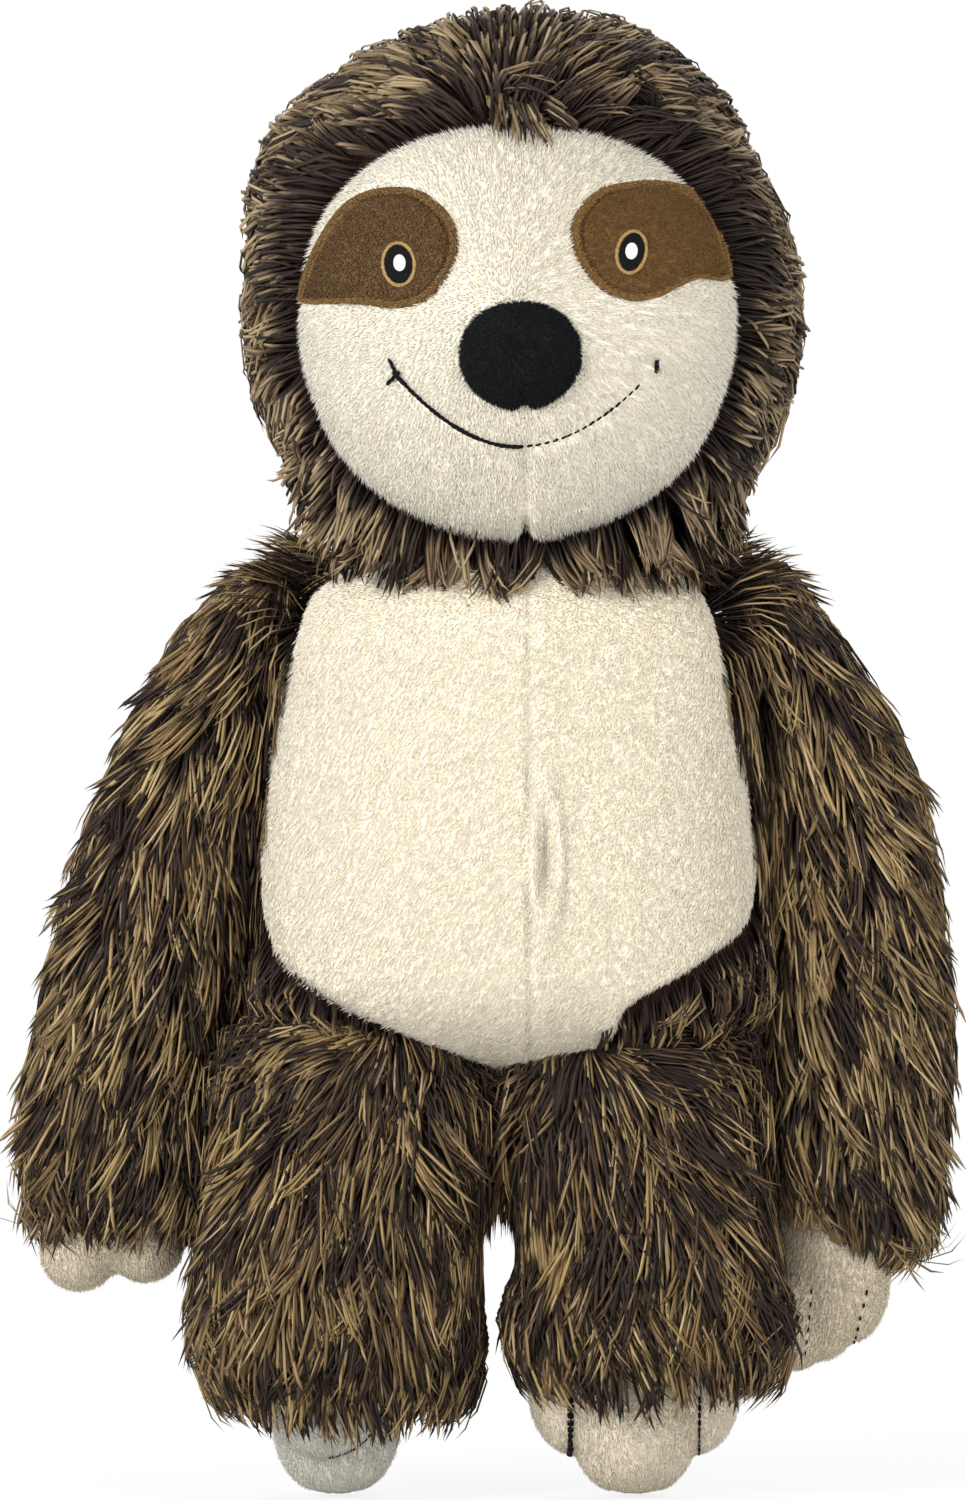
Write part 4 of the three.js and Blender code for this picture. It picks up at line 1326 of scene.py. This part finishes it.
def build_eye(side, surface):
    outline = patch_outline(side)

    def rim(share):
        edge = smooth_step(1.0, 0.94, share)
        groove = 0.7 * math.exp(-(((share - 0.875) / 0.022) ** 2))
        return -0.3 + 1.25 * edge + 0.35 * smooth_step(0.84, 0.93, share) - groove

    def domed(edge):
        return lambda share: edge + 0.35 * math.sqrt(max(1 - share**2, 0))

    patch = applied(f"{side}_eye_patch_cloth", outline, surface, rim, rings=40)
    dress(patch, finishes.patch_ground[side], "head", [f"{side}_eye_patch"])
    places, normals = places_of(patch)
    grows = inside(patch_outline(side, -0.3), places) & (normals[:, 1] < 0.2)
    within = inside(patch_outline(side, -1.7), places)
    lay = outward(places) + np.array([0, 0, -0.4])
    # The turned seam allowance makes a paler rim
    for name, part, finish in (("nap", within, finishes.patch_nap), ("rim_nap", ~within, finishes.patch_rim)):
        furnish(patch, (grows & part) * 1.0, lay, pile=0.75, lift=1.0)
        piece = f"{side}_eye_patch_{name}"
        nap(piece, patch, "head", finish[side], seed=7, density=7, width=0.28, wild=0.35)

    ground = surface_of(patch)
    centre, lean, wide, high = EYE_PLACES[side]
    ring = ellipse(centre, wide - EYE.ring / 2, high - EYE.ring / 2, lean)
    stitched(
        f"{side}_eye_ring_stitches",
        strokes_on([[*map(tuple, ring), tuple(ring[0])]], ground, lift=0.35),
        "head",
        "tan_thread",
        f"{side}_eye_ring",
        pitch=0.34,
        length=EYE.ring + 0.35,
        width=0.42,
        turn_degrees=78,
    )
    black = ellipse(centre, wide - EYE.ring, high - EYE.ring, lean)
    pupil = applied(f"{side}_pupil_stitching", black, ground, domed(0.35), rings=8, floor=-0.2)
    dress(pupil, finishes.black_thread, "head", [f"{side}_pupil"])
    glint_place = (centre[0] + EYE.glint_across, centre[1] + EYE.glint_up)
    white = ellipse(glint_place, EYE.glint_half_width, EYE.glint_half_height, lean * 0.5)
    on_pupil = surface_of(pupil)
    glint = applied(f"{side}_eye_glint_stitching", white, on_pupil, domed(0.05), rings=6, floor=-0.15)
    dress(glint, finishes.white_thread, "head", [f"{side}_eye_glint"])


def build_nose(surface):
    def plump(share):
        return -0.6 + NOSE.height * math.sqrt(max(1 - share**2.6, 0)) + 0.6 * (1 - share)

    nose = applied("nose_cloth", nose_outline(), surface, plump, rings=24)
    dress(nose, finishes.nose_ground, "head", ["nose"])
    places, normals = places_of(nose)
    grows = (normals[:, 1] < 0.3) * 1.0
    furnish(nose, grows, outward(places) + np.array([0, 0, -0.3]), pile=0.85, lift=1.0)
    nap("nose_nap", nose, "head", finishes.nose_nap, seed=8, density=8, width=0.3, wild=0.35)


def mouth_line(away, start=0.0, end=1.0, count=40):
    """One half of the mouth, from one share of its way outwards to another, as front-view places."""
    t = np.linspace(start, end, count)
    corner_across, corner_up = MOUTH.corners[away]
    across = away * MOUTH.half_gap + (corner_across - away * MOUTH.half_gap) * t
    up = MOUTH.low + (corner_up - MOUTH.low) * t**MOUTH.rise_power
    return list(zip(*face_lean(across, up)))


def build_mouth(surface):
    """A full line with a cross at its end on the right, and a dotted one with a short bar on the left."""
    line = mouth_line(-1)
    x, z = line[-1]
    cross = [[(x - 1.0, z + 2.4), (x + 0.4, z - 0.6)], [(x - 1.3, z - 1.4), (x + 0.3, z + 0.1)]]
    dashes = [mouth_line(1, *shares, count) for shares, count in zip(MOUTH_DASH_SHARES, MOUTH_DASH_PLACES)]
    x, z = mouth_line(1)[-1]
    for aside in (-0.2, 0.2):
        for drop in (0, 0.75, 1.5):
            dashes.append([(x + 0.3 + aside, z + 1.2 - drop), (x - 0.05 + aside, z + 0.45 - drop)])
    # Each half's strokes, and its stitches' pitch, length, width and turn in degrees
    right = (strokes_on([line, *cross], surface, lift=0.9), 1.1, 2.0, 0.95, 10)
    left = (strokes_on(dashes, surface, lift=0.7), 1.5, 1.6, 0.55, 7)
    for side, (strokes, pitch, length, width, turn_degrees) in (("right", right), ("left", left)):
        stitched(
            f"{side}_mouth_stitches",
            strokes,
            "head",
            "black_thread",
            f"{side}_mouth_stitching",
            pitch,
            length,
            width,
            turn_degrees,
        )


# The torso


def belly_half_width(z, away):
    return BELLY.half_width * along(BELLY_SHARES[away], (z - BELLY.bottom) / (TORSO.crown - BELLY.bottom))


def torso_front(x, z, inset):
    """The torso's front as seen from the front: its y at a place."""
    _, _, a, b = torso_section(torso_form.share(z))
    bottom, top = TORSO.bottom + inset, TORSO.crown - inset
    full = fullness(z, bottom, top, TORSO.low_dome - inset, TORSO.high_dome - inset)
    a = np.maximum((a - inset) * full, 1)
    b = (b - inset) * full
    off = np.minimum(np.abs(x - TORSO.x) / a, 1)
    return TORSO.y - b * squared_circle(off, TORSO.squareness)


def build_back():
    low, high = TORSO.bottom + BACKING, TORSO.neck - 0.2
    rings = torso_form.rings(BACKING, count=56, around=80, high=high)
    top = torso_form.rings(BACKING, count=1, around=80, low=high - 0.001, high=high + 0.001)
    poles = torso_form.pole(low), torso_form.pole(high)
    skin = stack("torso_back_cloth", np.concatenate([rings, top]), *poles)
    dress(skin, finishes.backing, "torso", ["back_fur_panel"])
    places, normals = places_of(skin)
    x, y, z = places.T
    off = x - BELLY.x
    half = np.where(off < 0, belly_half_width(z, -1), belly_half_width(z, 1))
    over_belly = (np.abs(off) < half - 1) & (y < TORSO.y - 2)
    cover = np.where(over_belly, 0.0, 1.0)
    cover[z > TORSO.neck - 1.5] = 0
    # The pile falls and fans out a little, and on the shoulders it lies out over the arms
    lay = DOWN + (places - np.array([TORSO.x, TORSO.y, 140])) * np.array([0.004, 0.002, 0])
    flat = np.ones(len(places))
    beside = np.abs(x - TORSO.x)
    shoulder = smooth_step(170, 178, z) * smooth_step(20, 30, beside)
    lay = swayed(lay, np.stack([np.sign(x - TORSO.x), -0.1 * flat, 0.55 * flat], axis=1), shoulder)
    front_side = smooth_step(4, -20, y)
    under = smooth_step(-0.5, -0.9, normals[:, 2])
    # The pile closes the corner between thigh, belly and arm, and low on the back it falls long over the legs
    hip = smooth_step(118, 104, z) * smooth_step(24, 36, beside) * (1 - under)
    rear = smooth_step(8, 24, y)
    low_back = smooth_step(122, 98, z) * rear
    pile = FUR.length * (1 - 0.3 * front_side * (1 - shoulder) + 0.15 * np.maximum(hip, shoulder) + 0.5 * low_back)
    furnish(
        skin,
        cover * (1 + np.maximum(shoulder, hip) * (1 - rear)),
        lay,
        pile * (1 - 0.55 * under * (1 - low_back)),
        lift=FUR.lift + 0.3 * front_side + 0.6 * np.maximum(under, hip) * (1 - low_back) - 0.15 * low_back,
        unruly=0.4 + 0.35 * rear,
        curl=60 + 60 * rear,
        free=shoulder * 0.9,
    )
    fur("torso_fur", skin, "torso", seed=3, density=0.45)


def build_belly():
    """Two cream halves that meet in a drawn-in seam, with a puckered gap in it."""
    seam_x = BELLY.seam_x
    low, high = BELLY.bottom + 0.5, BELLY.top
    levels = low + (high - low) * np.linspace(0, 1, 110) ** 0.85
    for side, away in (("right", -1), ("left", 1)):
        edge = BELLY.x + away * belly_half_width(levels, away)
        edge = np.where((edge - seam_x) * away > 1, edge, seam_x + away * 1.0)
        s = np.linspace(0, 1, 60)
        x = seam_x + (edge - seam_x)[:, None] * (s[None, :] ** 1.35)
        z = np.repeat(levels[:, None], len(s), axis=1)
        y = torso_front(x, z, NAP_DEPTH)
        off = (x - seam_x) * away
        # The seam is drawn in, and the cloth beside it puffs out
        y += BELLY.seam_depth * bell(off, 0.9) - 0.4 * bell(off - 2.6, 2.4)
        r = np.hypot((x - NAVEL.x) / NAVEL.half_width, (z - NAVEL.z) / NAVEL.half_height)
        y += NAVEL.depth * np.exp(-(r**2)) - NAVEL.lip * bell(r - 2.2, 0.8) * (x > seam_x - 4)
        # The edge turns back into the side seam
        y += BELLY.edge_depth * smooth_step(0.93, 1.0, s)[None, :] ** 2
        grid = np.stack([x, y, z], axis=-1)
        rows, columns = grid.shape[:2]
        faces = []
        for i in range(rows - 1):
            for j in range(columns - 1):
                a = i * columns + j
                quad = (a, a + 1, a + columns + 1, a + columns)
                faces.append(quad if away > 0 else quad[::-1])
        belly = thickened(mesh_object(f"{side}_belly_cloth", grid.reshape(-1, 3), faces), BELLY_WALL)
        dress(belly, finishes.belly_ground, "torso", [f"{side}_belly_panel"])
        places, normals = places_of(belly)
        lay = np.array([-0.45, 0, -0.6]) * np.ones((len(places), 1))
        furnish(belly, (normals[:, 1] < -0.05) * 1.0, lay, pile=1.6, lift=0.4)
        finish = finishes.belly_nap
        nap(f"{side}_belly_nap", belly, "torso", finish, seed=9 + away, density=3.9, width=0.36)


# Arms and legs


def lobe(x, y, z, half_width, half_depth, half_height, squareness, turn=0.0, rings=18, around=32):
    """A rounded lump with its widest ring at its middle, as places and faces."""
    angle = np.linspace(0, math.pi, rings + 2)[1:-1]
    power = 2 / squareness
    level = -signed_power(np.cos(angle), power)
    full = np.sin(angle) ** power
    flat = np.zeros(rings)
    made = super_ring(flat, flat, half_height * level, half_width * full, half_depth * full, 2, around)
    places = np.concatenate([made.reshape(-1, 3), [[0, 0, -half_height], [0, 0, half_height]]])
    c, s = math.cos(turn), math.sin(turn)
    places = places @ np.array([[c, s, 0], [-s, c, 0], [0, 0, 1]]) + np.array([x, y, z])
    faces = ring_faces(rings, around)
    low, high = rings * around, rings * around + 1
    last_ring = low - around
    for j in range(around):
        n = (j + 1) % around
        faces.append((low, n, j))
        faces.append((high, last_ring + j, last_ring + n))
    return places, faces


def blended(name, lobes, voxel=0.85, rounds=3):
    """Lobes grown together into one stuffed form, with a crease where they meet."""
    places, faces = [], []
    for lump_places, lump_faces in lobes:
        start = len(places)
        places += list(lump_places)
        faces += [tuple(start + i for i in face) for face in lump_faces]
    made = mesh_object(name, places, faces)
    remesh = made.modifiers.new("one skin", "REMESH")
    remesh.mode = "VOXEL"
    remesh.voxel_size = voxel * MM
    remesh.use_smooth_shade = True
    soften = made.modifiers.new("soften", "SMOOTH")
    soften.factor = 0.5
    soften.iterations = rounds
    return apply_modifiers(made)


def arm_side(arm, places):
    """How far out on the arm a place lies: -1 beside the body and 1 on the far side."""
    x, _, half, _ = arm_section(arm)(arm_form(arm).share(places[:, 2]))
    return np.clip((places[:, 0] - x) * arm.away / half, -1, 1)


def settle_arm(arm, made):
    """The inner side hangs close to the body, and the open end slants."""
    low = min(arm.cuff_inner, arm.cuff_outer)
    places, _ = places_of(made)
    side = arm_side(arm, places)
    below_shoulder = smooth_step(ARM.pivot, ARM.pivot - 40, places[:, 2])
    above_shoulder = smooth_step(ARM.pivot - 12, ARM.crown - 6, places[:, 2])
    tuck = arm.tuck * below_shoulder + 7 * above_shoulder
    places[:, 0] -= arm.away * tuck * smooth_step(0.6, -0.8, side)
    places[:, 0] += arm.away * arm.swell * smooth_step(-0.2, 0.8, side)
    slant = (arm.cuff_inner - arm.cuff_outer) * (0.5 - 0.5 * side) + arm.cuff_outer - low
    places[:, 2] += slant * smooth_step(low + 60, low, places[:, 2])
    move_to(made, places)


def build_arm(arm):
    form = arm_form(arm)
    body = f"{arm.side}_arm"
    low = min(arm.cuff_inner, arm.cuff_outer)
    rings = form.rings(BACKING, count=60, around=48, low=low)
    skin = stack(f"{arm.side}_arm_cloth", rings, None, form.pole(ARM.crown - BACKING))
    settle_arm(arm, skin)
    thickened(skin)
    rings = form.rings(STUFFING, count=40, around=32, low=low + 1)
    stuffing = stack(f"{arm.side}_arm_stuffing", rings, form.pole(low), form.pole(ARM.crown - STUFFING))
    settle_arm(arm, stuffing)
    dress(stuffing, finishes.filling, body, [f"{arm.side}_arm_filling"])
    dress(skin, finishes.backing, body, [f"{arm.side}_arm_sleeve"])
    arm_fur(arm, skin)
    build_paw(arm)


def arm_fur(arm, skin):
    """Lays an arm's pile down and outwards, nearly level at the shoulder and straight down beside the body."""
    form = arm_form(arm)
    places, normals = places_of(skin)
    x, y, z = places.T
    share = form.share(z)
    middle_x, middle_y, _, _ = form.section(share)
    out = np.stack([x - middle_x, y - middle_y, np.zeros(len(places))], axis=1)
    outer = np.sum(out * normals, axis=1) > 0
    outer |= z > ARM.crown - BACKING - 3
    side = arm_side(arm, places)
    lay = np.zeros_like(places)
    lay[:, 0] = arm.away * (0.12 + 0.5 * smooth_step(-0.7, 0.9, side) + 0.5 * smooth_step(0.6, 1.0, share))
    lay[:, 1] = 0.1
    lay[:, 2] = -1
    # Near the open end the outer pile is longer and turns in
    low = min(arm.cuff_inner, arm.cuff_outer)
    turned_in = smooth_step(low + 40, low + 8, z) * smooth_step(0, 0.9, side)
    lay[:, 0] -= arm.away * 0.8 * turned_in
    inner = smooth_step(-0.2, -0.9, side)
    shoulder = smooth_step(174, 186, z)
    pile = FUR.length - 4.5 * smooth_step(low + 22, low, z) * (1 - turned_in) - 6 * shoulder
    pile = pile + 5 * turned_in * smooth_step(low + 22, low + 6, z)
    lift = FUR.lift + 0.25 * inner * (1 - shoulder) - 0.2 * shoulder - 0.2 * turned_in
    furnish(skin, outer * 1.0, lay, pile, lift)
    fur(f"{arm.side}_arm_fur", skin, f"{arm.side}_arm", seed=4 + arm.away)


def build_paw(arm):
    """A palm and three fingers in one skin, with a line of stitches beside the middle finger."""
    body = f"{arm.side}_arm"
    paw = arm.paw
    inset = NAP_DEPTH
    finger_half = paw.half_width * FINGER.width_share
    finger_rise = paw.height * FINGER.long_share / 2
    finger_depth = paw.half_depth * FINGER.deep_share - inset
    palm_z = paw.bottom + finger_half + paw.height / 2 + 4
    palm = (paw.half_width - inset, paw.half_depth - inset, paw.height / 2)
    finger = (finger_half - inset * 0.5, finger_depth, finger_rise - inset)
    lobes = [lobe(paw.x, ARM.y, palm_z, *palm, PALM_SQUARENESS)]
    for k, lift in enumerate(arm.finger_lift_shares):
        x = paw.x + arm.away * (k - 1) * paw.spread
        z = paw.bottom + paw.height * lift + finger_rise
        lobes.append(lobe(x, ARM.y, z, *finger, FINGER.squareness))
    hand = blended(f"{arm.side}_paw_cloth", lobes, rounds=16)
    places, _ = places_of(hand)
    # The paw's lower end lies a little nearer to the leg
    places[:, 0] -= arm.away * paw.lean * smooth_step(palm_z, paw.bottom, places[:, 2])
    move_to(hand, places)
    dress(hand, finishes.paw_ground, body, [f"{arm.side}_paw"])
    places, _ = places_of(hand)
    cuff = max(arm.cuff_inner, arm.cuff_outer)
    shows = smooth_step(cuff + 3, cuff, places[:, 2])
    furnish(hand, shows, DOWN * np.ones((len(places), 1)), NAP.length, NAP.lift)
    name = f"{arm.side}_paw_nap"
    nap(name, hand, body, finishes.paw_nap, seed=15 + arm.away, density=4.0, width=0.32)
    surface = surface_of(hand)
    top = paw.bottom + arm.stitch_top
    for place, way, shift, lean_over, width in (("inner", -1, 0, 16, 0.4), ("outer", 1, 2.4, 8, 0.6)):
        x = paw.x + way * arm.away * paw.half_width / 3 + arm.away * shift
        slant = -arm.away * paw.lean / lean_over
        line = [(x + slant * k, top - k) for k in range(FINGER.line_length + 1)]
        stitched(
            f"{arm.side}_finger_stitches_{place}",
            strokes_on([line], surface, lift=0.5),
            body,
            "black_thread",
            f"{arm.side}_finger_stitch_{place}",
            pitch=2.4,
            length=1.4,
            width=width,
        )


def build_leg(leg):
    body = f"{leg.side}_leg"
    rings, crown = leg_rings(leg, BACKING, around=56, barrel_rings=40, thigh_rings=16)
    skin = stack(f"{leg.side}_leg_cloth", rings, None, crown)
    thickened(skin)
    rings, crown = leg_rings(leg, STUFFING, around=40, barrel_rings=30, thigh_rings=12)
    stuffing = stack(f"{leg.side}_leg_stuffing", rings, rings[0].mean(axis=0), crown)
    dress(stuffing, finishes.filling, body, [f"{leg.side}_leg_filling"])
    dress(skin, finishes.backing, body, [f"{leg.side}_leg_sleeve"])
    leg_fur(leg, skin)
    build_foot(leg)


def leg_fur(leg, skin):
    """Lays a leg's pile about a whorl high on the thigh in front, and straight down behind and at the hem."""
    places, normals = places_of(skin)
    x, y, z = places.T
    outwards = normals[:, 0] * leg.away
    out = places - np.array([leg_middle(leg, LEG.middle_share), LEG.y, 0])
    out[:, 2] = np.maximum(z - LEG.hip, 0)
    outer = np.sum(out * normals, axis=1) > 0
    fan = places - np.array([leg.whorl_x, 0, leg.whorl_z])
    fan[:, 1] = 0
    from_whorl = np.linalg.norm(fan, axis=1)
    # About its middle the pile goes round rather than outwards
    round_it = unit(fan[:, [2, 1, 0]] * np.array([-1, 1, 1]))
    circling = leg.away * bell(from_whorl, 11)[:, None]
    lay = unit(fan) * (1 - 0.8 * np.abs(circling)) + round_it * circling + np.array([0, 0, -0.3])
    rear = smooth_step(-4, 10, y)
    lay = swayed(lay, DOWN, rear)
    whorl = bell(from_whorl, 9) * (1 - rear)
    near_hem = smooth_step(leg.hem + 14, leg.hem + 2, z)
    lay = swayed(lay, DOWN, near_hem)
    # The pile is short at the hem, less so at the sides, and long again low on the front
    low_side = smooth_step(leg.hem + 26, leg.hem + 8, z) * smooth_step(0.4, 0.8, np.abs(normals[:, 0]))
    outer_side = smooth_step(0.2, 0.7, outwards)
    shorter = 10 - 4 * low_side * (1 - outer_side * leg.flare / LEFT_LEG.flare)
    shorter = shorter * smooth_step(leg.hem + 20, leg.hem, z)
    low_front = smooth_step(-12, -22, y) * smooth_step(leg.hem + 16, leg.hem + 4, z)
    flare = leg.flare * outer_side * bell(z - 42, 9)
    # Between the legs it is flat, and beside the gap the front's hangs straight
    below_crotch = smooth_step(76, 66, z)
    between = smooth_step(0.15, 0.6, -outwards) * below_crotch * smooth_step(leg.gap_low, leg.gap_low + 10, z)
    beside_gap = smooth_step(15, 5, (x - leg.inner) * leg.away) * below_crotch
    lay = swayed(lay, np.array([0.25 * leg.away, 0, -1.0]), beside_gap)
    # It stands away high on the outer side, where it meets the arm, high inside and high behind
    hip = smooth_step(76, 88, z) * outer_side
    high_inner = smooth_step(0.5, 0.9, -outwards) * smooth_step(72, 80, z)
    rear_top = smooth_step(50, 72, z) * smooth_step(4, 14, y)
    lift = FUR.lift + 0.06 - 0.24 * between + 0.5 * np.maximum(hip, high_inner) + 0.55 * low_side
    furnish(
        skin,
        outer * (1 + 1.2 * whorl),
        lay,
        pile=FUR.length + 1 - shorter - 5 * whorl + 2 * low_front - 4.5 * between + flare,
        lift=lift + 0.06 * flare + 0.45 * rear_top,
        unruly=0.38 + 0.5 * whorl - 0.25 * between,
        curl=75,
        free=near_hem * (0.8 - 0.5 * low_side),
    )
    body = f"{leg.side}_leg"
    fur(f"{leg.side}_leg_fur", skin, body, seed=7 + leg.away, droop=0.14)
    keep(skin, "cover", outer * near_hem)
    keep(skin, "curl", LOOSE_HAIR_CURL * outer)
    hairs(f"{leg.side}_leg_hairs", skin, body, seed=40 + leg.away, density=0.03)


def build_foot(leg):
    """A big toe between two small ones in one skin, with a line of stitches on either side of it."""
    body = f"{leg.side}_leg"
    turn = math.radians(leg.turn_degrees)
    inset = NAP_DEPTH
    z = TOE.half_height - TOE.sole_cut + TOE.lift
    big = (TOE.half_width - inset, TOE.half_depth * leg.foot_depth_share - inset, TOE.half_height - inset * 0.5)
    small = (SIDE_TOE.half_width - inset, SIDE_TOE.half_depth - inset, SIDE_TOE.half_height - inset)
    lobes = [lobe(leg.foot_x, leg.foot_y, z, *big, TOE.squareness, turn)]
    for way in (-1, 1):
        x = leg.foot_x + way * SIDE_TOE.across * math.cos(turn)
        y = leg.foot_y + way * SIDE_TOE.across * math.sin(turn)
        lobes.append(lobe(x, y, SIDE_TOE.half_height + SIDE_TOE.lift, *small, SIDE_TOE.squareness, turn))
    foot = blended(f"{leg.side}_foot_cloth", lobes, rounds=5)
    dress(foot, finishes.foot_ground[leg.side], body, [f"{leg.side}_foot"])
    places, _ = places_of(foot)
    shows = smooth_step(leg.hem + 4, leg.hem, places[:, 2])
    # Under the sole the nap is pressed flat
    pressed = smooth_step(2.6, 1.2, places[:, 2])
    down = DOWN * np.ones((len(places), 1))
    furnish(foot, shows, down, NAP.length - 0.5 * pressed, NAP.lift - 0.5 * pressed)
    name, finish = f"{leg.side}_foot_nap", finishes.foot_nap[leg.side]
    nap(name, foot, body, finish, seed=25 + leg.away, density=3.8, width=0.32)
    surface = surface_of(foot)
    for place, way, width in (("inner", -1, TOE_LINE.inner_width), ("outer", 1, TOE_LINE.outer_width)):
        across = way * leg.away * (TOE.half_width - 1)
        line = [(across, TOE_LINE.top - k) for k in range(TOE_LINE.length + 1)]
        stitched(
            f"{leg.side}_toe_stitches_{place}",
            strokes_on([line], surface, 0.4, turn, (leg.foot_x, leg.foot_y)),
            body,
            "black_thread",
            f"{leg.side}_toe_stitch_{place}",
            pitch=1.5,
            length=2.0,
            width=width,
        )


# The room


def lamp(name, place, size, power):
    """An area lamp aimed at the toy's middle."""
    light = bpy.data.lights.new(name, "AREA")
    light.size = size * MM
    light.energy = power
    made = linked(name, light)
    made.location = Vector(place) * MM
    aim = Vector((0, 0, 150)) * MM - made.location
    made.rotation_euler = aim.to_track_quat("-Z", "Y").to_euler()


def build_room():
    """A white studio: the camera sees its walls and floor as white, and they light the toy less than that."""
    scene = bpy.context.scene
    scene.view_settings.view_transform = "Standard"
    world = bpy.data.worlds.new("studio")
    scene.world = world
    world.use_nodes = True
    net = Net(world.node_tree)
    background = world.node_tree.nodes["Background"]
    seen = net.node("ShaderNodeLightPath")
    pale = seen["Is Camera Ray"].math("MAXIMUM", seen["Is Glossy Ray"]).math("MAXIMUM", seen["Is Transmission Ray"])
    net.feed(background, "Color", (1, 1, 1, 1))
    net.feed(background, "Strength", pale * 0.45 + 0.55)

    corners = [(FLOOR_HALF * x, FLOOR_HALF * y, 0) for x, y in ((-1, -1), (1, -1), (1, 1), (-1, 1))]
    floor = mesh_object("floor", corners, [(0, 1, 2, 3)])
    material, net, shader = cloth("floor paint", roughness=0.9, specular=0.1)
    net.feed(shader, "Base Color", (0.93, 0.93, 0.93, 1))
    glow = net.node("ShaderNodeEmission", None, {"Color": (1, 1, 1, 1), "Strength": 1.0})[0]
    seen = net.node("ShaderNodeLightPath")
    place = net.node("ShaderNodeTexCoord")["Object"]
    # The floor under the toy keeps some of its shadow
    away = place.math("LENGTH").ramp(0.15, 0.45, 0.8, 1.0)
    pale = seen["Is Camera Ray"].math("MAXIMUM", seen["Is Glossy Ray"]) * away
    surface = Wire(net, shader.outputs[0])
    mixed = net.node("ShaderNodeMixShader", None, {0: pale, 1: surface, 2: glow})[0]
    net.feed(material.node_tree.nodes["Material Output"], "Surface", mixed)
    paint(floor, material)

    lamp("key", (-950, -1150, 600), size=700, power=20.5)
    lamp("fill", (900, -900, 400), size=900, power=7)
    lamp("rim", (200, 1100, 900), size=800, power=10)


def build_camera():
    lens = bpy.data.cameras.new("camera")
    lens.sensor_fit = "VERTICAL"
    lens.sensor_height = CAMERA.sensor
    lens.lens = CAMERA.sensor * CAMERA.distance / (IMAGE_HEIGHT * PIXEL)
    lens.clip_end = 20
    made = linked("camera", lens)
    rise = math.radians(CAMERA.elevation_degrees)
    back = Vector((0, -math.cos(rise), math.sin(rise))) * CAMERA.distance
    made.location = (Vector((CAMERA.x, 0, CAMERA.z)) + back) * MM
    made.rotation_euler = (math.pi / 2 - rise, 0, 0)
    bpy.context.scene.camera = made


build_camera()
build_room()

finishes = Sizes(
    hood_fur=long_pile_strands("hood pile strands", "78634a", "a28d6b", "bfac8a", 0.455),
    fur=long_pile_strands("long pile strands", "735b3b", "a48c5f", "c6b08a", 0.495),
    leg_fur=long_pile_strands("leg pile strands", "6b5336", "a1885a", "cbb48c", 0.515),
    loose_hair=loose_hair(),
    backing=pile_backing(),
    face_ground=cream_cloth("face cloth", "f5f0e2", "e8e0cd"),
    face_nap=cream_strands("face nap", "faf6ea", "eee7d6"),
    belly_ground=cream_cloth("belly cloth", "fbf4e2", "f1e8d3"),
    belly_nap=cream_strands("belly nap", "faf3e2", "f1e8d3"),
    # The paws' cloth and nap are the belly's cream painted darker and greyer: painted shade, for paws that hang in
    # shade
    paw_ground=cream_cloth("paw cloth with painted shade", "dfd4bf", "d2c5ac"),
    paw_nap=cream_strands("paw nap with painted shade", "e1d7c4", "d3c6ad"),
    # The feet's cloth and nap are the belly's cream with painted shade: darker than the belly, and greyer on the
    # right foot
    foot_ground={
        "right": cream_cloth("right foot cloth with painted shade", "e8e5dc", "dcd8cc"),
        "left": cream_cloth("left foot cloth with painted shade", "f2e9d6", "e6dac3"),
    },
    foot_nap={
        "right": cream_strands("right foot nap with painted shade", "ebe9e1", "dcd8cd"),
        "left": cream_strands("left foot nap with painted shade", "f4ecda", "e8ddc7"),
    },
    # Both eye patches are one brown velboa: their different browns are painted light and shade, darker on the right
    # patch
    patch_ground={
        "right": velboa("right eye patch cloth with painted light", "4a3824", "6b5231", ground=True),
        "left": velboa("left eye patch cloth with painted light", "573f24", "745630", ground=True),
    },
    patch_nap={
        "right": velboa("right eye patch nap with painted light", "493628", "6f5537"),
        "left": velboa("left eye patch nap with painted light", "60472b", "80613a"),
    },
    patch_rim={
        "right": velboa("right eye patch rim with painted light", "7a5d3a", "a08152"),
        "left": velboa("left eye patch rim with painted light", "80623a", "a38452"),
    },
    nose_ground=velboa("nose cloth", "0d0f11", "191b1e", ground=True),
    nose_nap=velboa("nose nap", "0f1113", "1e2023"),
    tan_thread=thread("tan thread", "8f7040", "b3935c"),
    black_thread=thread("black thread", "060607", "121214", roughness=0.7, specular=0.1),
    white_thread=thread("white thread", "e6e4dd", "ffffff"),
    seam_thread=thread("seam thread", "33241b", "4d3829", roughness=0.7),
    filling=fibre_filling(),
)
trees = Sizes(
    long_pile=long_pile_tree("long pile", 3),
    loose_hairs=long_pile_tree("loose hairs", 8),
    short_nap=short_nap_tree(),
    stitches=stitch_tree(),
)

for node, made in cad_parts.items():
    if node.endswith("filling"):
        paint(made, finishes.filling)
    elif node == "neck_seam_thread":
        paint(made, finishes.seam_thread)

build_hood()
face_surface = surface_of(build_face())
for side in ("right", "left"):
    build_eye(side, face_surface)
build_nose(face_surface)
build_mouth(face_surface)
build_back()
build_belly()
for arm in (RIGHT_ARM, LEFT_ARM):
    build_arm(arm)
for leg in (RIGHT_LEG, LEFT_LEG):
    build_leg(leg)
